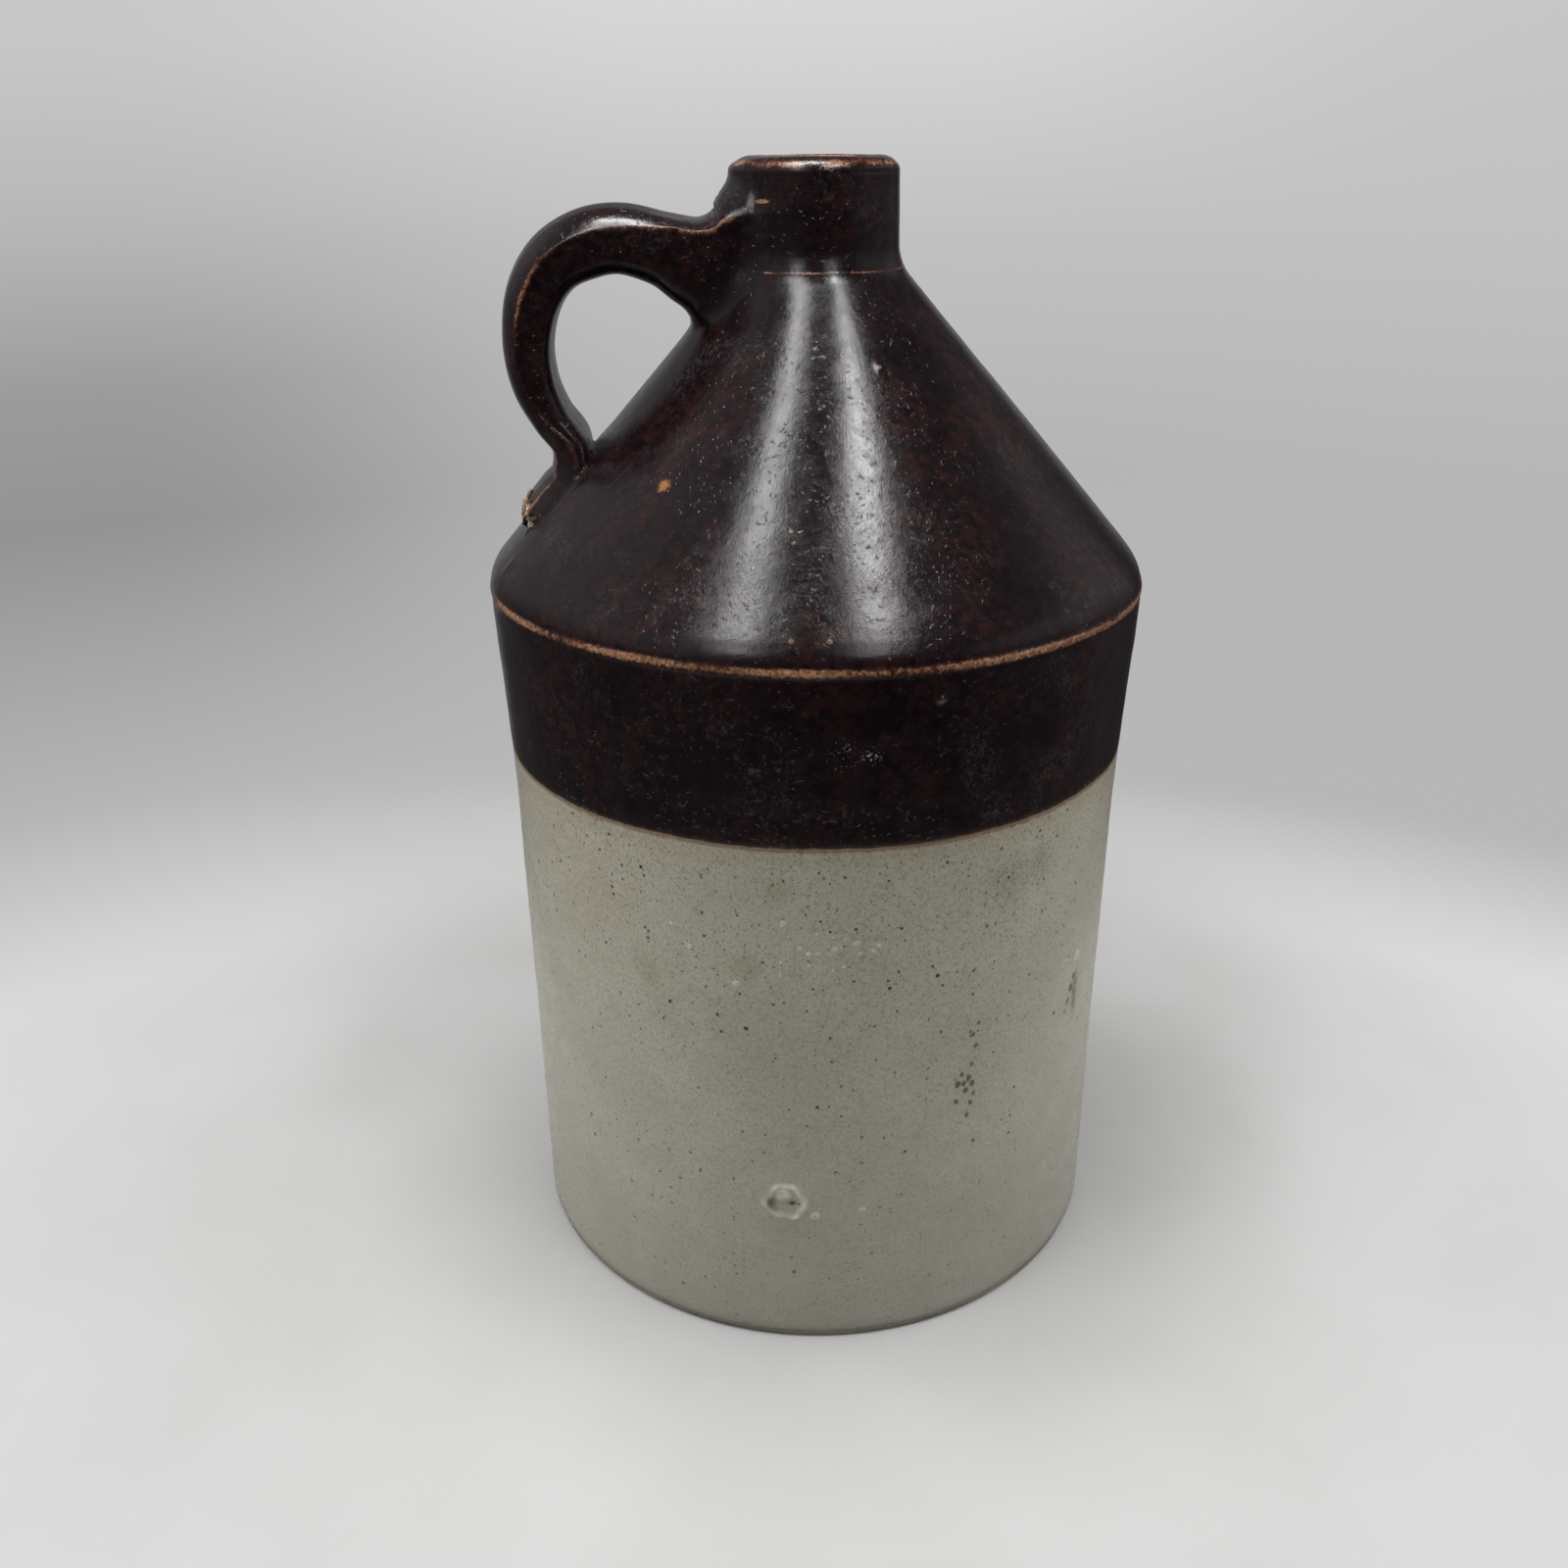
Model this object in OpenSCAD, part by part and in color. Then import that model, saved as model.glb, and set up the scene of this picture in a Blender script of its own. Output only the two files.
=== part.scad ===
// Stoneware crock jug: a cylindrical crock with a conical shoulder, a short neck and a pulled
// strap handle, dipped in dark brown slip above and pale glaze below.
// Every outline height is measured from the surface that the jug stands on, and every
// diameter is taken over the glaze.

/* [Crock] */
// Diameter of the lower wall
body_d = 170.5; // [140:0.5:200]
// How far the edge of the shoulder stands out past the lower wall
shoulder_out = 2.75; // [0.5:0.25:6]
// Height at which the wall starts to widen
flare_h = 140; // [110:1:160]
// Height of the ridge where the shoulder is joined to the crock
ridge_h = 196; // [180:1:240]
// Height of the upright band below the ridge
edge_band_h = 9; // [4:1:16]
// Thickness of the wall, glaze included
wall_t = 8; // [6:0.5:10]
// Thickness of the floor, glaze included
floor_t = 9; // [6:0.5:14]
// Inside rounding where the floor meets the wall
floor_round = 12; // [4:1:25]

/* [Foot] */
// Width of the flat ring that the jug stands on
foot_ring_w = 11; // [6:1:20]
// Depth of the hollow inside the foot ring
foot_recess = 1.5; // [0.5:0.5:3]
// Bevel on the foot's outer edge
foot_bevel = 0.8; // [0.4:0.2:2]

/* [Shoulder] */
// Height from the ridge to the corner where the cone would meet the upright band
cone_rise = 3.2; // [2:0.2:6]
// Rounding of the shoulder's edge
shoulder_round = 12; // [6:1:16]
// Height from that corner up to the one where the cone would meet the neck
shoulder_rise = 75.6; // [60:0.2:90]
// Hollow rounding between the cone and the neck
neck_round = 12; // [6:1:16]

/* [Neck] */
// Diameter of the neck at its foot
neck_d = 42.4; // [38:0.2:48]
// Diameter of the lip
lip_d = 41.6; // [38:0.2:48]
// Height from the corner of cone and neck up to the top of the lip
neck_rise = 25.2; // [20:0.2:34]
// Diameter of the mouth
mouth_d = 26; // [20:0.5:29]
// Outer rounding of the lip
lip_round = 4.4; // [2:0.2:5]
// Inner rounding of the lip
lip_in_round = 3; // [1:0.2:3]
// How far the neck's joint line lies below the corner of cone and neck
neck_joint_drop = 0.6; // [0:0.2:2]

/* [Handle] */
// Distance from the shoulder's edge, inwards, to the place where the strap lands on the cone
handle_foot_in = 24; // [20:0.5:30]
// How far the strap's centre line stands out past its landing
handle_out = 9.4; // [5:0.2:14]
// Height from the strap's centre line, where it is highest, up to the lip
handle_drop = 18.5; // [14:0.5:22]
// Width of the strap
strap_w = 26; // [18:0.5:32]
// Thickness of the strap
strap_t = 13; // [9:0.5:16]
// Length of the tail that is pressed down the cone
tail_l = 17; // [10:0.5:20]
// How far the tail stands above the cone
tail_proud = 3.6; // [2:0.2:6]

/* [Glaze] */
// Thickness of every coat of glaze
glaze_t = 0.5; // [0.3:0.1:0.8]
// Height of the line where the brown slip meets the pale glaze
glaze_line_h = 151.5; // [120:0.5:175]
// Height of the bare strip of clay above the foot
bare_foot_h = 1.4; // [1:0.2:6]

/* [Hidden] */
$fn = 180;

// Colours as the photograph shows them
bare_clay = [0.72, 0.66, 0.56];
brown_slip = [0.15, 0.10, 0.09];
pale_coat = [0.64, 0.63, 0.57];

// Steps along one rounded corner of an outline
corner_steps = 7;

body_r = body_d / 2;
shoulder_r = body_r + shoulder_out;
neck_r = neck_d / 2;
lip_r = lip_d / 2;
mouth_r = mouth_d / 2;
cavity_r = body_r - wall_t;
cone_corner_h = ridge_h + cone_rise;
neck_corner_h = cone_corner_h + shoulder_rise;
neck_h = neck_corner_h - neck_joint_drop;
lip_h = neck_corner_h + neck_rise;

// Direction of the cone's line, upwards, and its normal towards the inside of the wall
cone_dir = unit([neck_r, neck_corner_h] - [shoulder_r, cone_corner_h]);
cone_in = left(cone_dir);

// Height of the cone's inner line at radius r
function inner_cone_h(r) =
    let (on = [shoulder_r, cone_corner_h] + wall_t * cone_in)
    on.y + (r - on.x) * cone_dir.y / cone_dir.x;

// The outline over the glaze, as [radius, height, rounding], from the ground up to the lip
wall_path = [
    [body_r, 0, 0],
    [body_r, flare_h, 0],
    [shoulder_r, ridge_h - edge_band_h, 0],
    [shoulder_r, cone_corner_h, shoulder_round],
    [neck_r, neck_corner_h, neck_round],
    [lip_r, lip_h, lip_round]
];

// The same for the inside, from the mouth down to the middle of the floor
bore_top_h = lip_h - lip_in_round;
cavity_path = [
    [mouth_r, bore_top_h, 0],
    [mouth_r, inner_cone_h(mouth_r), lip_in_round],
    [cavity_r, inner_cone_h(cavity_r), shoulder_round],
    [cavity_r, floor_t, floor_round],
    [0, floor_t, 0]
];
mouth_edge = [mouth_r, lip_h, lip_in_round];
jug_path = concat(wall_path, [mouth_edge], [for (i = [1:len(cavity_path) - 1]) cavity_path[i]]);

// Radius of the outer wall at a height below the cone
wall_table = [for (p = wall_path) [p.y, p.x]];
function wall_r(h) = lookup(h, wall_table);

// Plane geometry
function unit(v) = v / norm(v);
function left(v) = [-v.y, v.x];
function flat(p) = [p.x, p.y];
function way(path, i) = unit(flat(path[i + 1]) - flat(path[i]));
function reach(path, i) = norm(flat(path[i + 1]) - flat(path[i]));
function turn(u, v) = atan2(u.x * v.y - u.y * v.x, u * v);

// Length that a corner's rounding takes from each of its two lines, before any limit
function bite(path, i) =
    i == 0 || i == len(path) - 1 ? 0
    : path[i].z * abs(tan(turn(way(path, i - 1), way(path, i)) / 2));

// The same, held to what the lines have room for
function room(path, i, j) =
    let (near = min(i, j))
    reach(path, near) / max(reach(path, near), bite(path, i) + bite(path, j));
function held_bite(path, i) = bite(path, i) * min(room(path, i, i - 1), room(path, i, i + 1));

// Points of one corner, rounded by an arc where it has a radius
function corner(path, i) =
    i == 0 || i == len(path) - 1 || path[i].z == 0 ? [flat(path[i])]
    : let (
        u = way(path, i - 1),
        bend = turn(u, way(path, i)),
        side = sign(bend),
        cut = held_bite(path, i),
        r = cut / abs(tan(bend / 2)),
        from = flat(path[i]) - cut * u,
        centre = from + side * r * left(u)
    )
    [for (k = [0:corner_steps])
        let (a = bend * k / corner_steps, spoke = -side * r * left(u))
        centre + [spoke.x * cos(a) - spoke.y * sin(a), spoke.x * sin(a) + spoke.y * cos(a)]];
function rounded(path) = [for (i = [0:len(path) - 1]) each corner(path, i)];

// The path moved by d to its left, which is into the clay, with its roundings to match
function inset(path, d) = [
    for (i = [0:len(path) - 1])
        let (
            u = way(path, max(i - 1, 0)),
            v = way(path, min(i, len(path) - 2)),
            mitre = unit(left(u) + left(v)),
            p = flat(path[i]) + mitre * d / (mitre * left(u)),
            r = path[i].z == 0 ? 0 : path[i].z - sign(turn(u, v)) * d
        )
        [p.x, p.y, r]
];
function backwards(list) = [for (i = [len(list) - 1:-1:0]) list[i]];

// A coat of glaze over an outline, seen in half section
module coat(path) {
    rotate_extrude()
        polygon(concat(rounded(path), backwards(rounded(inset(path, glaze_t)))));
}

// The vessel's clay from height low to height high
module clay(low, high) {
    clay_path = inset(jug_path, glaze_t);
    foot_r = clay_path[0].x;
    recess_r = foot_r - foot_bevel - foot_ring_w;
    foot = [
        [0, foot_recess, 0],
        [recess_r - foot_recess, foot_recess, 0],
        [recess_r, 0, 0],
        [foot_r - foot_bevel, 0, 0],
        [foot_r, foot_bevel, 0]
    ];
    skin = [for (i = [1:len(clay_path) - 1]) clay_path[i]];
    rotate_extrude()
        intersection() {
            polygon(rounded(concat(foot, skin)));
            translate([0, low])
                square([shoulder_r, high - low]);
        }
}

// The clay's outer form as one solid, which the handle is pressed against
module clay_form() {
    outside = inset(concat(wall_path, [mouth_edge]), glaze_t);
    top = outside[len(outside) - 1];
    rotate_extrude()
        polygon(concat([[0, 0]], rounded(outside), [[0, top.y]]));
}

// The strap's centre line and section, as [radius, height, width, thickness]. The loop is given
// in shares of the way out from the neck and of the way up from the foot, the section in
// shares of the strap's width and thickness.
loop_shares = [
    [-0.20, 0.875, 1.10, 2.60],
    [0.00, 0.875, 1.09, 2.52],
    [0.10, 0.877, 1.07, 2.08],
    [0.20, 0.90, 1.04, 1.65],
    [0.33, 0.948, 1.01, 1.34],
    [0.52, 0.995, 1.00, 1.27],
    [0.69, 0.975, 1.00, 1.27],
    [0.85, 0.895, 1.00, 1.18],
    [0.957, 0.745, 1.00, 1.09],
    [1.00, 0.55, 1.00, 0.98],
    [0.98, 0.365, 1.00, 0.90],
    [0.91, 0.21, 1.02, 0.80],
    [0.825, 0.085, 1.10, 0.77]
];

// The tail is given in shares of its length down the cone from the strap's landing, with its
// depth under the cone and its thickness in shares of its height above the cone
tail_shares = [
    [0.18, 0.40, 1.24, 2.80],
    [0.50, 0.40, 1.36, 2.80],
    [0.80, 0.40, 1.40, 2.75],
    [0.93, 0.45, 1.32, 2.65],
    [1.00, 0.60, 1.10, 2.40]
];

// Height of the cone's outer line at radius r
function cone_h(r) = cone_corner_h + (r - shoulder_r) * cone_dir.y / cone_dir.x;

handle_foot_r = shoulder_r - handle_foot_in;
handle_foot = [handle_foot_r, cone_h(handle_foot_r)];
handle_reach = handle_foot_r + handle_out;
handle_top_h = lip_h - handle_drop;
loop_points = [
    for (s = loop_shares) [
        neck_r + s[0] * (handle_reach - neck_r),
        handle_foot.y + s[1] * (handle_top_h - handle_foot.y),
        s[2] * strap_w,
        s[3] * strap_t
    ]
];
tail_points = [
    for (s = tail_shares)
        let (p = handle_foot - s[0] * tail_l * cone_dir + s[1] * tail_proud * cone_in)
        [p.x, p.y, s[2] * strap_w, s[3] * tail_proud]
];
strap_points = concat(loop_points, tail_points);

// A smooth curve through a list of points, with some steps to each stretch
strap_steps = 3;
function spline_at(list, i, t) =
    let (
        last = len(list) - 1,
        a = list[max(i - 1, 0)],
        b = list[i],
        c = list[min(i + 1, last)],
        d = list[min(i + 2, last)]
    )
    (2 * b + (c - a) * t + (2 * a - 5 * b + 4 * c - d) * t * t + (3 * b - a - 3 * c + d) * t * t * t) / 2;
function spline(list, steps) = concat(
    [for (i = [0:len(list) - 2], k = [0:steps - 1]) spline_at(list, i, k / steps)],
    [list[len(list) - 1]]
);

// Sides of the strap's section, and how square its outer and inner halves are: 2 is an ellipse
strap_sides = 24;
outer_square = 2.5;
inner_square = 3.2;
function power(v, p) = sign(v) * pow(abs(v), p);

// One ring of the strap round a point of its centre line, on the jug's -X side
function strap_ring(at, dir) = [
    for (k = [0:strap_sides - 1])
        let (
            a = 360 * k / strap_sides,
            square = sin(a) > 0 ? outer_square : inner_square,
            across = at[2] / 2 * power(cos(a), 2 / square),
            out = at[3] / 2 * power(sin(a), 2 / square),
            p = [at.x, at.y] + out * left(dir)
        )
        [-p.x, across, p.y]
];

// The whole strap, with its root inside the neck and its tail sunk in the cone
module strap() {
    line = spline(strap_points, strap_steps);
    last = len(line) - 1;
    rings = [
        for (i = [0:last])
            strap_ring(line[i], unit(flat(line[min(i + 1, last)]) - flat(line[max(i - 1, 0)])))
    ];
    n = strap_sides;
    sides = [
        for (i = [0:last - 1], k = [0:n - 1])
            let (a = i * n + k, b = i * n + (k + 1) % n)
            each [[a, b, a + n], [b, b + n, a + n]]
    ];
    root_cap = [[for (k = [n - 1:-1:0]) k]];
    tail_cap = [[for (k = [0:n - 1]) last * n + k]];
    polyhedron([for (ring = rings) each ring], concat(root_cap, sides, tail_cap));
}

module crock_body() {
    color(bare_clay)
        clay(0, ridge_h);
}

module shoulder_cone() {
    color(bare_clay)
        clay(ridge_h, neck_h);
}

module neck_collar() {
    color(bare_clay)
        clay(neck_h, lip_h);
}

module handle() {
    color(brown_slip)
        difference() {
            strap();
            clay_form();
        }
}

// Slip over the upper wall, the cone, the neck and the lip, open where the handle is joined on
module brown_glaze() {
    outside = [for (p = wall_path) if (p.y > glaze_line_h) p];
    start = [wall_r(glaze_line_h), glaze_line_h, 0];
    color(brown_slip)
        difference() {
            coat(concat([start], outside, [mouth_edge, cavity_path[0]]));
            strap();
        }
}

module pale_glaze() {
    between = [for (p = wall_path) if (p.y > bare_foot_h && p.y < glaze_line_h) p];
    low = [wall_r(bare_foot_h), bare_foot_h, 0];
    high = [wall_r(glaze_line_h), glaze_line_h, 0];
    color(pale_coat)
        coat(concat([low], between, [high]));
}

module inner_glaze() {
    color(brown_slip)
        coat(cavity_path);
}

crock_body();
shoulder_cone();
neck_collar();
handle();
brown_glaze();
pale_glaze();
inner_glaze();
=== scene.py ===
"""Looks of the stoneware crock jug: glazed surfaces, pulled handle, floor, light and camera.

Lengths are in millimetres here and become metres where a mesh is made. The frame is the CAD's:
+Z up the jug's axis, the handle towards -X, the photograph taken roughly along +Y.
"""
import math
from functools import reduce

import bpy
import numpy as np
from mathutils import Matrix


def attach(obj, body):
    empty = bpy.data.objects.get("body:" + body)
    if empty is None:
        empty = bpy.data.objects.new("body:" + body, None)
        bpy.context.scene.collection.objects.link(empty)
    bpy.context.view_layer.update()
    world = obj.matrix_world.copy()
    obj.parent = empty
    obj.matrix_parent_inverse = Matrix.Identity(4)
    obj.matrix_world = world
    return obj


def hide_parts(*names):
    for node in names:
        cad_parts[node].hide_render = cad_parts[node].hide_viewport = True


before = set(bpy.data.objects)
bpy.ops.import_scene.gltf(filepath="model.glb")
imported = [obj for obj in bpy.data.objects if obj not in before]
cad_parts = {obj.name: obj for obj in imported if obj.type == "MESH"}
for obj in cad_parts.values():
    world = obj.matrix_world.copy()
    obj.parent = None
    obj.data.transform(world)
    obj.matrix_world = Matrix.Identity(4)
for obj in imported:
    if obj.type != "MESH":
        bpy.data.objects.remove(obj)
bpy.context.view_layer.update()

MM = 0.001
FULL_TURN = 2 * math.pi

# Sizes over the glaze, as in the CAD
MOUTH_R = 13.0
NECK_R = 20.8
CONE_FOOT = (88.0, 199.2)
CONE_TOP = (21.2, 274.8)
RIDGE_H = 196.0
NECK_JOINT_H = 274.2
GLAZE_LINE_H = 151.5
BARE_FOOT_H = 1.4
GLAZE_T = 0.5
LIP_H = 300.0

# The lip's crown: how far it reaches in from the neck's outside, and how far down; and its rounding inside
LIP_CROWN = (5.0, 3.7)
LIP_IN_ROUND = 2.8

# The outline over the glaze, from the foot up and into the mouth, as (radius, height, rounding)
WALL_PATH = [
    (85.25, 0, 0),
    (85.25, 140, 500),
    (88.0, 187, 230),
    (*CONE_FOOT, 12),
    (*CONE_TOP, 12),
]
WALL_PATH += [
    (NECK_R - LIP_CROWN[0] * (1 - math.cos(a)), LIP_H - LIP_CROWN[1] * (1 - math.sin(a)), 0)
    for a in np.linspace(0, math.pi / 2, 14)
]
WALL_PATH += [
    (MOUTH_R + LIP_IN_ROUND * (1 - math.sin(a)), LIP_H - LIP_IN_ROUND * (1 - math.cos(a)), 0)
    for a in np.linspace(0, math.pi / 2, 10)
]

# The inside over the lining, and the foot, as in the CAD
CAVITY_R = 77.25
FLOOR_H = 9.0
FOOT_R = 84.75
FOOT_BEVEL = 0.8
FOOT_RING_W = 11.0
FOOT_RECESS = 1.5

# Columns round the jug in the coats of glaze, and in the clay behind them
COAT_COLUMNS = 720
CLAY_COLUMNS = 300


def smooth(low, high, x):
    """0 below low, 1 above high, and a smooth step between."""
    t = np.clip((np.asarray(x, float) - low) / (high - low), 0, 1)
    return t * t * (3 - 2 * t)


def hump(x, middle, width):
    """A bell of height 1 round middle."""
    return np.exp(-(((np.asarray(x, float) - middle) / width) ** 2))


def turned(az, middle):
    """Angle from middle to az, in degrees, the short way round."""
    return (np.asarray(az, float) - middle + 180) % 360 - 180


class Waves:
    """A smooth random field over the jug, the same on every run."""

    def __init__(self, seed, count, around, along):
        rng = np.random.default_rng(seed)
        self.around = rng.integers(0, around + 1, count)
        self.along = FULL_TURN / along * rng.uniform(-1, 1, count)
        self.phase = rng.uniform(0, FULL_TURN, count)

    def __call__(self, az, h):
        az = np.radians(az)
        total = 0
        for k, m, p in zip(self.around, self.along, self.phase):
            total = total + np.cos(k * az + m * h + p)
        return total / math.sqrt(len(self.phase) / 2)


# Outline of the jug

def rounded(path, step):
    """A dense line through the path's corners, each rounded by its radius."""
    points = [np.array(p[:2], float) for p in path]
    line = [points[0]]
    for i in range(1, len(path) - 1):
        radius = path[i][2]
        if radius == 0:
            line.append(points[i])
            continue
        u, v = points[i] - points[i - 1], points[i + 1] - points[i]
        u, v = u / np.linalg.norm(u), v / np.linalg.norm(v)
        bend = math.atan2(u[0] * v[1] - u[1] * v[0], u @ v)
        side = math.copysign(1, bend)
        spoke = -side * radius * np.array([-u[1], u[0]])
        centre = points[i] - radius * math.tan(abs(bend) / 2) * u - spoke
        for a in np.linspace(0, bend, max(3, int(abs(bend) * radius / step) + 2)):
            c, s = math.cos(a), math.sin(a)
            line.append(centre + np.array([spoke[0] * c - spoke[1] * s, spoke[0] * s + spoke[1] * c]))
    line.append(points[-1])
    return np.array(line)


def along(line):
    """Length along a line at each of its points."""
    return np.concatenate([[0], np.cumsum(np.linalg.norm(np.diff(line, axis=0), axis=1))])


def respaced(line, spacing):
    """The line with new points, as far apart as spacing(height) asks."""
    s = along(line)
    at = [0.0]
    while at[-1] < s[-1]:
        at.append(at[-1] + spacing(np.interp(at[-1], s, line[:, 1])))
    at = np.array(at) * s[-1] / at[-1]
    return np.stack([np.interp(at, s, line[:, 0]), np.interp(at, s, line[:, 1])], 1)


def normals(line):
    """Unit normals of a line that runs up the outside, pointing away from the clay."""
    d = np.gradient(line, axis=0)
    d = d / np.linalg.norm(d, axis=1)[:, None]
    return np.stack([d[:, 1], -d[:, 0]], 1)


# The middle of the fine rows under the burst blister
CRATER_ROWS_H = 46


def row_spacing(h):
    """Finer rows where the form has edges or small marks."""
    if h > 271:
        return 0.34
    if abs(h - RIDGE_H) < 4 or abs(h - GLAZE_LINE_H) < 2:
        return 0.3
    if abs(h - CRATER_ROWS_H) < 9 or 207 < h < 236:
        return 0.5
    return 0.8 if h > GLAZE_LINE_H else 1.1


OUTLINE = respaced(rounded(WALL_PATH, 0.2), row_spacing)
OUTLINE_NORMALS = normals(OUTLINE)


# Relief: how far the real surface stands off that outline

LUMPS = Waves(3, 14, 5, 90)
CONE_LUMPS = Waves(5, 18, 9, 45)
WHEEL_RINGS = Waves(8, 12, 1, 6.5)
LIP_WOBBLE = Waves(13, 6, 4, 60)
LINE_WAVE = Waves(17, 10, 16, 400)
LINE_RAG = Waves(19, 24, 140, 400)
RIDGE_SWAY = Waves(23, 6, 5, 400)
CRATER_RAG = Waves(29, 8, 6, 400)

# Half width, in degrees round the neck, of the clay smeared up from the handle's root
SMEAR_HALF = [(262, 30), (273, 30.5), (280, 31.5), (285, 39), (289, 42), (293, 39.5), (298, 35)]

# Small marks in the glaze, as (azimuth, height, radius, how far it stands out)
MARKS = [
    (-75.9, 189.3, 1.5, 0.75), (-104.3, 172.4, 1.6, 0.12), (-94.7, 42.7, 1.3, 0.28),
    (-86.2, 44.0, 1.0, 0.2), (-107.9, 113.5, 0.9, 0.2), (-38.2, 100.4, 1.8, 0.35),
    (-164.6, 204.5, 1.6, 0.3), (-72.5, 254.3, 0.9, 0.25), (62.0, 88.0, 1.7, 0.4),
    (121.0, 171.0, 1.6, 0.5), (20.0, 219.0, 1.5, 0.35), (96.0, 34.0, 2.0, 0.3),
]

# The burst blister low on the front: its azimuth and height, its ring's radius, and the wall's radius there
CRATER = (-100.2, 46.9)
CRATER_R = 4.9
CRATER_WALL_R = 85.3


def arc(az, h, at_az, at_h, r):
    """Distances round and up from a mark, in mm."""
    return np.radians(turned(az, at_az)) * r, h - at_h


def crater_places(az, h):
    """Distances round and up from the blister's middle, the angle round it and its uneven ring's radius."""
    x, y = arc(az, h, *CRATER, CRATER_WALL_R)
    angle = np.degrees(np.arctan2(y, x))
    return x, y, angle, CRATER_R * (1 + 0.09 * CRATER_RAG(angle, 0))


def crater(az, h):
    """A burst blister: a thin raised ring on a low mound, with a dish and a pinhole inside."""
    x, y, angle, ring_r = crater_places(az, h)
    d = np.hypot(x, y)
    ring = hump(d, ring_r, 0.55) * (0.62 + 0.25 * CRATER_RAG(angle + 40, 5))
    mound = 0.3 * hump(d, 0, 7.5)
    dish = -0.3 * smooth(ring_r, ring_r - 2.2, d)
    lobe = 0.3 * hump(np.hypot(x + 0.6, y - 2.2), 0, 1.7)
    hole = -0.42 * hump(np.hypot(x - 2.2, y * 1.5 - 0.1), 0, 0.75)
    return mound + ring * 0.8 + dish + lobe + hole


def dent(az, h):
    """The cone gave way a little where the handle was pressed on."""
    up = smooth(208, 238, h) * smooth(273, 264, h)
    return -1.9 * up * smooth(78, 30, abs(turned(az, 180)))


def past_smear(az, h):
    """How far, in degrees, a place lies past the edge of the smear."""
    return abs(turned(az, 180)) - np.interp(h, *zip(*SMEAR_HALF))


def smear(az, h):
    """Clay wiped from the handle's root up the neck to the lip, with a fold at its edges."""
    off = past_smear(az, h)
    up = smooth(258, 266, h) * smooth(299.4, 296.5, h)
    fold = 0.24 * hump(off, -4.0, 6.0) * smooth(281, 286, h)
    return up * (0.8 * smooth(3, -5, off) + fold * (0.8 + 0.3 * LIP_WOBBLE(az * 3, h * 4)))


def relief(az, h):
    """How far the glazed surface stands off the outline, in mm, at azimuth az and height h."""
    az, h = np.broadcast_arrays(np.asarray(az, float), np.asarray(h, float))
    low = smooth(0, 10, h)
    on_neck = smooth(271, 279, h)
    lip_top = smooth(296.5, 299, h)

    # Lumps, and rings left by the wheel
    out = 0.09 * LUMPS(az, h) * low * (1 - on_neck)
    out = out + 0.05 * CONE_LUMPS(az, h) * smooth(196, 212, h) * (1 - on_neck)
    out = out + 0.022 * WHEEL_RINGS(az, h) * low * (1 - 0.5 * on_neck)
    out = out + (0.13 - 0.07 * lip_top) * LIP_WOBBLE(az, h) * on_neck - 0.15 * lip_top

    # A band at the neck's foot, the waist below the ridge, the ridge's bead and the neck's joint
    out = out + 0.05 * smooth(274.3, 274.9, h) * smooth(278.2, 276.6, h)
    out = out - 0.28 * smooth(150, 172, h) * smooth(199, 196.2, h)
    out = out + 0.34 * hump(h, RIDGE_H, 1.25)
    out = out - 0.05 * hump(h, NECK_JOINT_H + 0.4, 0.4) + 0.05 * hump(h, NECK_JOINT_H - 0.1, 0.3)

    # A groove under the lip on its front right, and the step down at the glaze line
    groove_az = smooth(-95, -70, turned(az, 0)) * smooth(-20, -45, turned(az, 0))
    out = out - 0.16 * hump(h, 296.4, 0.45) * groove_az
    out = out - 0.12 * hump(h, GLAZE_LINE_H - 0.3, 0.8)
    for m_az, m_h, m_r, m_out in MARKS:
        x, y = arc(az, h, m_az, m_h, np.interp(m_h, OUTLINE[:, 1], OUTLINE[:, 0]))
        out = out + m_out * hump(np.hypot(x, y), 0, m_r)
    return out + crater(az, h) + dent(az, h) + smear(az, h)


def sway(az, h):
    """How far the ridge and the glaze line wander up and down, in mm."""
    ridge = 0.55 * np.cos(np.radians(turned(az, -155))) + 0.15 * RIDGE_SWAY(az, 0)
    line = 0.35 + 0.17 * LINE_WAVE(az, 0) + 0.05 * LINE_RAG(az, 0)
    return ridge * hump(h, RIDGE_H, 9) + line * hump(h, GLAZE_LINE_H, 5)


# Meshes

def grid_object(name, rings, closed, material):
    """An object from rings of points. A ring of one point closes an end; closed joins last to first."""
    starts = np.cumsum([0] + [len(ring) for ring in rings])
    faces = []
    for a in range(len(rings) if closed else len(rings) - 1):
        b = (a + 1) % len(rings)
        n = max(len(rings[a]), len(rings[b]))
        here = np.arange(n)
        on = (here + 1) % n
        corners = [starts[a] + here, starts[a] + on, starts[b] + on, starts[b] + here]
        if len(rings[a]) == 1:
            corners = [starts[a] + 0 * here, starts[b] + on, starts[b] + here]
        elif len(rings[b]) == 1:
            corners = [starts[a] + here, starts[a] + on, starts[b] + 0 * here]
        faces += np.stack(corners, 1).tolist()
    mesh = bpy.data.meshes.new(name)
    mesh.from_pydata((np.concatenate(rings) * MM).tolist(), [], faces)
    mesh.validate()
    mesh.polygons.foreach_set("use_smooth", np.ones(len(mesh.polygons), bool))
    mesh.materials.append(material)
    mesh.update()
    piece = bpy.data.objects.new(name, mesh)
    bpy.context.scene.collection.objects.link(piece)
    return piece


def put_attribute(piece, name, base, values=()):
    """A number for each point of the mesh, which its material reads: the values, then base for the rest."""
    numbers = np.full(len(piece.data.vertices), base, np.float32)
    numbers[:np.size(values)] = np.ravel(values)
    piece.data.attributes.new(name, "FLOAT", "POINT").data.foreach_set("value", numbers)


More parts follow.
